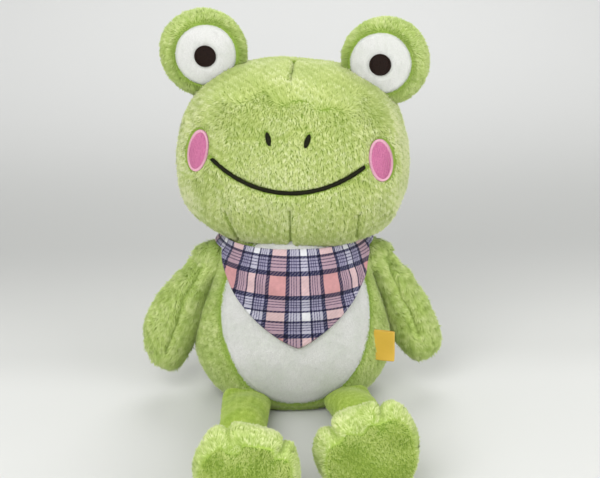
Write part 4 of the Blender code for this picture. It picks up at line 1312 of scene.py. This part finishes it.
def oval_threads(name, surface, shape, matrix, mats, border, pitch, slant, node,
                 lift=0.0, lengthwise=False):
    """Satin stitch: a padded oval of close threads inside a border of short ones."""
    spot, size, turn = shape

    def at(across, along):
        return (
            spot[0] + across * math.cos(turn) - along * math.sin(turn),
            spot[1] + across * math.sin(turn) + along * math.cos(turn),
        )

    half = (size[0] / 2 - border * 0.6, size[1] / 2 - border * 0.6)

    def outline(share, angle):
        return at(share * half[0] * 1.06 * np.cos(angle), share * half[1] * 1.06 * np.sin(angle))

    def dome(share):
        return lift - 2.6 * MM + 0.5 * MM * (1 - share ** 4)

    pad = polar(f"{name}_pad", surface, outline, 10, 48, matrix, dome, 0.8 * MM)
    sewn(pad, "head", mats[:1])
    reach, span = half[::-1] if lengthwise else half
    count = int(2 * span / pitch)
    rows = (np.arange(count) + 0.5) / count * 2 - 1
    s = np.linspace(-1, 1, 25 if lengthwise else 11)
    run = reach * np.sqrt(np.maximum(1 - rows ** 2, 0.02))[:, None] * s[None, :]
    rank = rows[:, None] * span + slant * run * (1 - np.abs(rows[:, None]))
    u, v = at(rank, run) if lengthwise else at(run, rank)
    height = (lift - 1.95 * MM + 0.45 * MM * (1 - s ** 4))[None, :]
    wide = 1.12
    if lengthwise:
        uneven = 0.07 * MM * np.sin(rows * 37.0) + 0.04 * MM * np.sin(rows * 91.0)
        height = height + uneven[:, None]
        wide = 1.45
    fill = stitches(f"{name}_fill", surface, u, v, height, matrix, pitch * wide, 0.55 * MM)
    sewn(fill, "head", mats[:1], (node,))
    if border:
        count = int(math.pi * (half[0] + half[1]) / pitch)
        angle = round_turn(count)
        s = np.linspace(-1, 1, 6)
        ring = np.stack((half[0] * np.cos(angle), half[1] * np.sin(angle)), 1)
        out = unit(np.stack((np.cos(angle) / half[0], np.sin(angle) / half[1]), 1))
        along_ring = np.stack((-out[:, 1], out[:, 0]), 1)
        spots = (
            ring[:, None, :] + out[:, None, :] * (s * border / 2)[None, :, None]
            + along_ring[:, None, :] * (s * border * 0.16)[None, :, None]
        )
        u, v = at(spots[..., 0], spots[..., 1])
        height = lift - 1.75 * MM + 0.55 * MM * (1 - s ** 2)
        edge = stitches(f"{name}_border", surface, u, v, height, matrix, pitch * 1.15, 0.5 * MM)
        sewn(edge, "head", mats[1:])


def make_face():
    s = np.linspace(-1, 1, 7)
    pitch = 0.44 * MM
    fine = mouth_path(801)
    gaps = np.append(0, np.cumsum(np.hypot(*np.diff(fine, axis=0).T)))
    marks = np.linspace(0.3 * MM, gaps[-1] - 0.3 * MM, int(gaps[-1] / pitch))
    x, z = (np.interp(marks, gaps, part) for part in fine.T)
    run = unit(np.stack((np.gradient(x), np.gradient(z)), 1))
    cross = np.stack((-run[:, 1], run[:, 0]), 1)
    ends = np.minimum(np.minimum(marks, gaps[-1] - marks) / (2.2 * MM), 1)
    half = MOUTH_LINE / 2 * (0.5 + 0.5 * np.sqrt(ends)) + 0.15 * MM
    wobble = 1 + 0.05 * np.sin(marks / (1.9 * MM)) + 0.04 * np.sin(marks / (0.7 * MM))
    half = (half * wobble)[:, None]
    u = x[:, None] + cross[:, :1] * half * s + run[:, :1] * half * s * 0.35
    v = z[:, None] + cross[:, 1:] * half * s + run[:, 1:] * half * s * 0.35
    height = -2.2 * MM + 1.25 * MM * (1 - s ** 2)
    line = stitches("mouth_stitches", HEAD.front, u, v, height, HEAD_PLACE, pitch * 1.15,
                    0.6 * MM)
    sewn(line, "head", (BLACK_THREAD,), ("mouth_line",))
    for name, side in SIDES:
        oval_threads(
            f"nostril_stitches_{name}", HEAD.front, nostril_shape(side), HEAD_PLACE,
            (BLACK_THREAD,), 0, 0.42 * MM, 0.3, f"nostril_{name}",
        )
        oval_threads(
            f"cheek_stitches_{name}", HEAD.front, cheek_shape(side), HEAD_PLACE,
            (PINK_THREAD, PALE_THREAD), 2.3 * MM, 0.66 * MM, 0.05 * side, f"cheek_{name}",
            lengthwise=True,
        )


def make_eye(name, side):
    place = eye_matrix(name, side)
    look = np.array((-side * EYE_WHITE_IN, -EYE_WHITE_DOWN))

    def from_look(local):
        return np.hypot(local[:, 0] - look[0], local[:, 1] - look[1])

    def to_white(local):
        """Signed distance from the white disc's edge, large behind."""
        return np.where(local[:, 2] > 0, from_look(local) - WHITE_RADIUS, FAR)

    def change(points, normals):
        far = to_white(points)
        lumps = 0.25 * MM * waves(points, 0.022, 61 + side)
        return (
            lumps - 1.4 * MM - 2.4 * MM * steps(0.2 * MM, -2.6 * MM, far)
            - fade(far, 0.6 * MM, 1.2 * MM) - fade(points[:, 2] + 2 * MM, 1.0 * MM, 1.5 * MM)
        )

    bump = skin(f"eye_plush_{name}", EYE, 128, 80, place, change)
    sewn(bump, "head", (GREEN_BACKING,),
         (f"eye_bump_{name}", f"eye_stuffing_{name}"))

    def keep(root, normal):
        inside = HEAD.inside(unmoved(root, HEAD_PLACE), 3.5 * MM)
        return ~inside & (to_white(unmoved(root, place)) > -0.4 * MM)

    def trim(root, tip):
        return np.where(to_white(unmoved(tip, place)) < -0.6 * MM, 0.5, 1.0)

    def tone_and_painted_shading(root):
        local = unmoved(root, place)
        # Painted shade next to the white disc and round the groove at the bump's base
        dark = fade(to_white(local), 0.55, 1.2 * MM)
        dark += fade(local[:, 2] + 2 * MM, 0.20, 1.4 * MM)
        return 1.16 - dark

    def nap(points, normals):
        """Outwards round the rim, from the white disc to the back, and a little down."""
        centre, forward = np.array(place)[:3, 3], -np.array(place)[:3, 2]
        flow = np.tile(forward, (len(points), 1)) + 0.35 * unit(points - centre)
        flow[:, 2] -= 0.45
        return flow

    def stand(root):
        return 0.45 + 0.55 * steps(0.4 * MM, 5 * MM, to_white(unmoved(root, place)))

    fur(f"eye_fur_{name}", bump, "head", COATS["eye"], nap, keep, trim, tone_and_painted_shading,
        stand=stand, seed=70 + side)

    def outline(share, angle):
        reach = share * WHITE_RADIUS
        return look[0] + reach * np.cos(angle), look[1] + reach * np.sin(angle)

    def rise(share):
        dimple = fade(share * WHITE_RADIUS - PUPIL_RADIUS, 0.5 * MM, 2.5 * MM)
        return -1.2 * MM - fade((1 - share) * WHITE_RADIUS, 1.7 * MM, 1.8 * MM) - dimple

    white = polar(f"eye_white_plush_{name}", EYE.cap, outline, 30, 120, place, rise, 0.8 * MM)
    sewn(white, "head", (WHITE_BACKING,), (f"eye_white_{name}",))

    def keep_white(root, normal):
        far = from_look(unmoved(root, place))
        inside = HEAD.inside(unmoved(root, HEAD_PLACE), 2 * MM)
        return (far > PUPIL_RADIUS - 0.4 * MM) & ~inside

    coat = COATS["white"]._replace(length=1.2 * MM)
    fur(f"eye_white_fur_{name}", white, "head", coat, down, keep_white,
        seed=80 + side)
    oval_threads(
        f"pupil_stitches_{name}", EYE.cap, (look, (PUPIL_DIAMETER, PUPIL_DIAMETER), 0.5), place,
        (BROWN_THREAD, BROWN_THREAD), 1.6 * MM, 0.44 * MM, 0.0,
        f"pupil_{name}", 1.5 * MM,
    )


def sweep_reach(radius):
    """How far the body reaches sideways where a swinging arm passes at a radius."""
    pivot = shoulder(1)
    best = np.zeros(len(radius))
    for angle in range(-60, 130, 10):
        y = pivot.y - radius * math.sin(math.radians(angle))
        z = pivot.z - radius * math.cos(math.radians(angle))
        row = TORSO.level(z)
        inside = np.maximum(1 - ((y - row[:, 4]) / np.maximum(row[:, 2], 1e-6)) ** 2, 0)
        best = np.maximum(best, row[:, 1] * np.sqrt(inside) * (z > 0))
    return best


def shouldered(points, form, side):
    """An arm clear of the body it swings past, its shoulder sloping from the neck."""
    pivot = np.array(shoulder(side))
    away = np.hypot(points[:, 1] - pivot[1], points[:, 2] - pivot[2])
    least = np.where(away > ARM_ROOT_RADIUS, sweep_reach(away) - 1.6 * MM, 0)
    out = points[:, 0] * side
    clear = steps(ARM_ROOT_RADIUS, ARM_ROOT_RADIUS + 8 * MM, away)
    points[:, 0] = side * (out + (np.maximum(out, least) - out) * clear)
    high = points[:, 2] - pivot[2]
    row = form.level(-high)
    reach = np.abs(row[:, 3]) + row[:, 1]
    wanted = np.interp(high, *SHOULDER_SLOPE)
    out = (points[:, 0] - pivot[0]) * side
    share = np.clip((out + 3 * MM) / (reach + 3 * MM), 0, 1)
    points[:, 0] += side * np.maximum(wanted - reach, 0) * share
    points[:, 2] = pivot[2] + high * (1 + 0.16 * (high > 0) * (out > -4 * MM))
    return points


def make_arm(name, side):
    place = arm_matrix(side)
    form = arm_form(name, side)
    crease = np.array(ARM_CREASE[name])

    def to_crease(world):
        return np.where(world[:, 1] < 0, to_path(world[:, (0, 2)], crease), FAR)

    def change(points, normals):
        outward = turned(normals, place)[:, 0] * side
        inset = 1.4 * MM - 2.0 * MM * steps(0.2, -0.5, outward)
        lumps = 0.55 * MM * waves(points, 0.034, 91 + side)
        return lumps - inset - fade(to_crease(moved(points, place)), 2.2 * MM, 3.4 * MM)

    arm = skin(f"arm_plush_{name}", form, 120, 110, place, change)
    points = places_of(arm.data)
    low = points[:, 2].min()
    set_places(arm.data, shouldered(points, form, side))
    sewn(arm, f"arm_{name}", (GREEN_BACKING,),
         (f"arm_skin_{name}", f"arm_stuffing_{name}"))

    def keep(root, normal):
        facing = (normal[:, 0] * side < -0.88) & (np.abs(root[:, 0]) < ARM_HIDDEN)
        return ~TORSO.inside(root, 3 * MM) & ~facing

    def trim(root, tip):
        return 1 - fade(to_crease(root), 0.62, 3.0 * MM)

    def tone_and_painted_shading(root):
        # Painted shade along the arm's crease
        return 1.12 - fade(to_crease(root), 0.62, 2.2 * MM)

    def long(root):
        """Longer at the hand, most on the arm that reaches lower."""
        most = 0.25 if low < LOW_HAND else 0.05
        return 1 + most * steps(low + 22 * MM, low + 4 * MM, root[:, 2])

    def nap(points, normals):
        """Down the arm, back at its sides and towards its crease near it."""
        start, run = crease[0], crease[-1] - crease[0]
        flat = points[:, (0, 2)]
        share = np.clip((flat - start) @ run / (run @ run), 0, 1)
        gap = start + share[:, None] * run - flat
        pull = fade(np.linalg.norm(gap, axis=1), 0.55, 14 * MM) * (points[:, 1] < 0)
        across, along = (run / np.linalg.norm(run))[:, None] + pull * unit(gap).T
        return field(points, across, 0.7 * sideways(normals), along)

    fur(f"arm_fur_{name}", arm, f"arm_{name}", COATS["arm"], nap, keep, trim,
        tone_and_painted_shading, long, seed=100 + side)


def make_leg(name, side):
    form = leg_form(LEG_LENGTH[name], side * math.tan(LEG_SPLAY[name]))

    def change(points, normals):
        inset = 0.9 * MM * steps(-8 * MM, 4 * MM, points[:, 2])
        return 0.35 * MM * waves(points, 0.032, 111 + side) - inset

    leg = skin(f"leg_plush_{name}", form, 96, 90, leg_matrix(side), change)
    sewn(leg, f"leg_{name}", (LEG_BACKING,),
         (f"leg_skin_{name}", f"leg_stuffing_{name}"))
    foot_place = foot_matrix(name, side)

    def keep(root, normal):
        local = unmoved(root, foot_place)
        inner = (local[:, 2] > FOOT_BACK + 4 * MM) & (
            np.hypot(local[:, 0], local[:, 1] - FOOT_RISE) < 0.9 * FOOT_RADIUS)
        return ~TORSO.inside(root, 3 * MM) & ~inner & (root[:, 2] > 1.2 * MM)

    def nap(points, normals):
        """Up the leg, from the foot to the body."""
        return field(points, 0, 1, -0.2)

    fur(f"leg_fur_{name}", leg, f"leg_{name}", COATS["leg"], nap, keep,
        seed=120 + side)
    make_foot(name, side, foot_place)


def make_foot(name, side, place):
    def seam_at(points):
        """The seam lies further forward at the toes than at the heel."""
        high = np.clip((points[:, 1] - FOOT_RISE) / FOOT_RADIUS, -1, 1)
        return FOOT_BACK + (FOOT_SEAM_SHARE + 0.085 * high) * FOOT_THICKNESS

    def polar_place(points):
        angle = np.degrees(np.arctan2(points[:, 1] - FOOT_RISE, points[:, 0])) % 360
        return angle, np.hypot(points[:, 0], points[:, 1] - FOOT_RISE)

    def past(angle, middle):
        return (angle - middle + 180) % 360 - 180

    def valleys(points):
        """Distance from the creases between the toes, and from the foot's middle."""
        angle, radius = polar_place(points)
        best = np.full(len(points), FAR)
        for middle in TOE_GAPS[name]:
            off = np.radians(past(angle, middle))
            far = np.abs(radius * np.sin(off))
            best = np.minimum(best, np.where(np.cos(off) > 0, far, FAR))
        return best, radius

    def reshaped(points):
        """Each toe as long as the photograph shows it."""
        angle, radius = polar_place(points)
        share = np.zeros(len(points))
        for middle, half, size in TOE_REACH[name]:
            share = share + fade(past(angle, middle), size, half)
        scale = 1 + share * steps(0.15 * FOOT_RADIUS, 0.75 * FOOT_RADIUS, radius)
        points = points.copy()
        points[:, 0] = points[:, 0] * scale
        points[:, 1] = FOOT_RISE + (points[:, 1] - FOOT_RISE) * scale
        return points

    def change(points, normals):
        far, radius = valleys(points)
        outer = steps(0.35 * FOOT_RADIUS, 0.85 * FOOT_RADIUS, radius)
        beyond = points[:, 2] - seam_at(points)
        upper = steps(1.5 * MM, -1.5 * MM, beyond)
        toes = fade(far, 5.0 * MM, 4.6 * MM) * outer * upper
        dips = fade(far, 1.3 * MM, 5.5 * MM) * outer * (1 - upper)
        rim = fade(beyond + 0.4 * MM, 1.2 * MM, 2.2 * MM)
        pad = 1.1 * MM * steps(0.9 * FOOT_RADIUS, 0.45 * FOOT_RADIUS, radius) * (1 - upper)
        lumps = 0.8 * MM * waves(points, 0.024, 131 + side)
        return lumps - 1.3 * MM - toes - dips + rim - pad

    foot = skin(f"foot_plush_{name}", foot_form(), 200, 110, place, change)
    set_places(foot.data, moved(reshaped(unmoved(places_of(foot.data), place)), place))
    local = unmoved(raised(foot, 0.6 * MM), place)
    above = local[:, 2] > seam_at(local)
    sewn(foot, f"foot_{name}", (TOE_BACKING, SOLE_BACKING),
         (f"foot_upper_{name}", f"foot_sole_{name}", f"foot_stuffing_{name}"))
    for face in foot.data.polygons:
        face.material_index = int(above[face.vertices[0]])
    tip_way = np.array(place)[:3, 1]
    backward = np.array((0.0, 1.0, 0.0))

    def toe_nap(points, normals):
        """From the seam back over the toes."""
        return np.tile(backward + 0.25 * tip_way, (len(points), 1))

    def sole_nap(points, normals):
        """Down the sole, and backwards round its edge."""
        radius = polar_place(unmoved(points, place))[1]
        rim = steps(0.66 * FOOT_RADIUS, 0.86 * FOOT_RADIUS, radius)[:, None]
        flat = -tip_way + 0.6 * waves(points, 0.016, 140 + side)[:, None] * np.array((1, 0, 0))
        return flat * (1 - rim) + 1.6 * backward * rim

    def trim(root, tip):
        far, radius = valleys(unmoved(root, place))
        size = 1 - fade(far, 0.6, 3.0 * MM) * (radius > 0.5 * FOOT_RADIUS)
        return size * np.where(tip[:, 2] < 0.3 * MM, 0.4, 1.0)

    for part, nap, slot, seed in (
        ("toe", toe_nap, "leg_plush", 150), ("sole", sole_nap, "sole_plush", 160),
    ):
        def keep(root, normal, part=part):
            local = unmoved(root, place)
            on_sole = local[:, 2] > seam_at(local)
            socket = (np.linalg.norm(local, axis=1) < LEG_RADIUS + 0.5 * MM) & ~on_sole
            return (on_sole == (part == "sole")) & ~socket

        def tone_and_painted_shading(root, part=part):
            local = unmoved(root, place)
            # Painted light along the ridge of the seam
            edge = fade(local[:, 2] - seam_at(local), 1, 2.4 * MM)
            far, radius = valleys(local)
            # Painted shade in the creases between the toes
            dark = fade(far, 0.55, 2.4 * MM) * (radius > 0.6 * FOOT_RADIUS)
            # Painted light on the foot's upper part, lit from above
            high = steps(0, 0.9, (local[:, 1] - FOOT_RISE) / FOOT_RADIUS)
            if part == "sole":
                return 0.94 + (0.34 + 0.3 * high) * edge - 0.6 * dark
            return 1.05 + 0.20 * high + 0.10 * edge - dark

        fur(f"{part}_fur_{name}", foot, f"foot_{name}", COATS[part], nap, keep, trim,
            tone_and_painted_shading, seed=seed + side)


def cloth_piece(name, points, faces, u, v, nodes=()):
    """A piece of the plaid cloth, with each vertex's place on the check."""
    obj = mesh_object(name, points, faces)
    layer = obj.data.uv_layers.new(name="Cloth")
    write(layer.data, "uv", np.stack((u, v), 1)[corners_of(obj.data)])
    sewn(obj, "torso", (PLAID,), nodes)
    return obj


def make_bandana():
    """One sheet round the neck whose front hangs over the chest in soft folds."""
    around, rows = 360, 65
    turn = (np.arange(around) / around * 2 - 1) * math.pi
    t, s = pairs(turn, np.linspace(0, 1, rows))
    top, low = bandana_edges(t)
    z = top + (low - top) * s
    row = TORSO.level(z)
    angle = t - math.pi / 2
    c, d = np.cos(angle), np.sin(angle)
    here = np.stack((row[:, 3] + row[:, 1] * c, row[:, 4] + row[:, 2] * d, z), 1)
    normal = unit(np.stack((c / row[:, 1], d / row[:, 2], 0 * z), 1))
    slope = (TORSO.level(z + 0.5 * MM)[:, 1] - TORSO.level(z - 0.5 * MM)[:, 1]) / MM
    normal[:, 2] = -np.clip(slope, -1.5, 1.5)
    normal = unit(normal)
    front = steps(BANDANA_REACH, BANDANA_REACH * 0.45, np.abs(t))
    drape = 0.9 * MM * (1 + np.cos(BANDANA_FOLDS * t + 0.6 * np.sin(3 * t))) * s ** 1.6
    drape += front * 1.1 * MM * (0.5 + 0.5 * np.sin(
        (z - 0.085 - 0.35 * np.abs(t) * 0.06) / (9.5 * MM) * math.pi + 1.4 * np.sin(2.2 * t)
    )) * np.sin(math.pi * np.clip(s, 0, 1)) ** 0.5
    side_folds = steps(0.55, 1.15, np.abs(t)) * steps(1.75, 1.25, np.abs(t))
    drape += side_folds * 1.2 * MM * (1 + np.sin(z / (3.4 * MM) + 5 * t)) * 0.5
    hem = 0.45 * MM * steps(3.6 * MM, 2.9 * MM, z - low)
    roll = fade(top - z, 0.5 * MM, 1.6 * MM)
    billow = fade(np.abs(t) - 1.5, np.where(t > 0, 4.5 * MM, 1.5 * MM), 0.42)
    out = 0.5 * MM + drape + hem + roll + billow
    cloth = cloth_piece(
        "bandana_cloth", here + normal * out[:, None], grid_faces(around, rows, closed=True),
        (t - CHECK_START) / CHECK_TURN, (CHECK_LEVEL - z) / CHECK_DROP, ("bandana",),
    )
    # The last faces end at the back, a whole turn on from where the first ones start
    corners = corners_of(cloth.data)
    last = np.repeat(corners.reshape(-1, 4)[:, 0] // rows == around - 1, 4)
    layer = cloth.data.uv_layers["Cloth"]
    uv = read(layer.data, "uv", 2)
    uv[last & (corners // rows == 0), 0] = (math.pi - CHECK_START) / CHECK_TURN
    write(layer.data, "uv", uv)
    area = sum(face.area for face in cloth.data.polygons)
    thicken(cloth, SHEET, 1)
    return cloth, area


def make_knot():
    """The two ends of the band tied at the nape: a wrap over the band and two short ends."""
    z = BANDANA_NECK_SIDE - BANDANA_BAND / 2
    row = TORSO.level(np.array([z]))[0]
    out = BANDANA_GAP + CLOTH + 2 * BANDANA_FOLD + SEAM_GAP + KNOT_DEPTH / 2
    centre = np.array((0, row[4] + row[2] + out, z - KNOT_HEIGHT / 2))
    around, along = 64, 40
    a, b = pairs(round_turn(around), np.linspace(-1, 1, along))
    half = KNOT_HEIGHT / 2 * (1 - 0.14 * np.cos(2 * b * math.pi)) * (1 - 0.55 * b ** 6)
    crease = 1 + 0.07 * np.sin(5 * a + 6 * b) + 0.05 * np.sin(9 * a - 4 * b)
    points = np.stack((
        b * KNOT_WIDTH / 2 * 0.92, np.cos(a) * half * crease * KNOT_DEPTH / KNOT_HEIGHT,
        np.sin(a) * half * crease,
    ), 1)
    faces = grid_faces(around, along, closed=True, flip=True)
    first = [j * along for j in range(around)]
    faces += [first[::-1], [j + along - 1 for j in first]]
    knot = cloth_piece("knot_wrap", points + centre, faces, b * 0.28 + 0.2, a / math.tau * 0.8,
                       ("bandana_knot",))
    tails = []
    for name, side in SIDES:
        wide, far = 13, 17
        p, q = pairs(np.linspace(-1, 1, wide), np.linspace(0, 1, far))
        turn = math.radians(52 + 6 * side)
        half = (2.6 + 3.4 * q) * MM
        run = 19.0 * MM * q + 1.0 * MM + 3.0 * MM * p * q
        fold = 1.1 * MM * np.cos(p * 2.6 + side) * (0.35 + 0.65 * q) + 0.5 * MM * np.sin(q * 5)
        points = np.stack((
            side * (run * np.cos(turn) + p * half * np.sin(turn) + 2.0 * MM),
            centre[1] - 1.5 * MM + 2.2 * MM * q + fold,
            centre[2] - 1.0 * MM - run * np.sin(turn) + p * half * np.cos(turn),
        ), 1)
        tail = cloth_piece(f"knot_end_{name}", points, grid_faces(wide, far),
                           p * 0.13 + 0.3 * side, q * 0.36 + 0.1)
        thicken(tail, SHEET, 0)
        tails.append(tail)
    return knot, tails


def make_label():
    """A folded loop of ribbon with a slight bow, its ends in the side seam."""
    middle = LABEL_LOW + LABEL_HEIGHT / 2
    spot, normal = lifted(TORSO.front, np.array([LABEL_X]), np.array([middle]))
    spot = spot[0] + unit(normal)[0] * LABEL_CLEAR

    def layer(share, side):
        puff = 0.9 * MM * math.sin(max(share, 0) * 2.6) * 0.5
        return share * LABEL_LENGTH, side * (LABEL_FOLD_RADIUS + puff)

    path = [layer(share, 1) for share in np.linspace(-0.25, 1, 18)]
    for step in range(1, 8):
        angle = math.pi / 2 - math.pi * step / 8
        path.append((LABEL_LENGTH + LABEL_FOLD_RADIUS * math.cos(angle),
                     LABEL_FOLD_RADIUS * math.sin(angle)))
    path += [layer(share, -1) for share in np.linspace(1, -0.25, 18)]
    levels = np.linspace(0, 1, 33)
    points = []
    for level in levels:
        bow = 1.5 * MM * math.sin(level * math.pi + 0.5) + 0.4 * MM * math.sin(level * 7)
        for x, y in path:
            points.append(
                (x, y + bow * max(x, 0) / LABEL_LENGTH, LABEL_LOW + level * LABEL_HEIGHT)
            )
    turn = Matrix.Translation((spot[0], spot[1], 0)) @ Matrix.Rotation(LABEL_TURN, 4, "Z")
    label = mesh_object(
        "label_ribbon", moved(np.array(points), turn), grid_faces(len(levels), len(path))
    )
    thicken(label, RIBBON, 0)
    sewn(label, "torso", (RIBBON_WEAVE,), ("side_label",))


stage()
make_torso()
make_head()
make_face()
for make in (make_eye, make_arm, make_leg):
    for name, side in SIDES:
        make(name, side)
cloth, cloth_area = make_bandana()
tie, tie_ends = make_knot()
make_label()
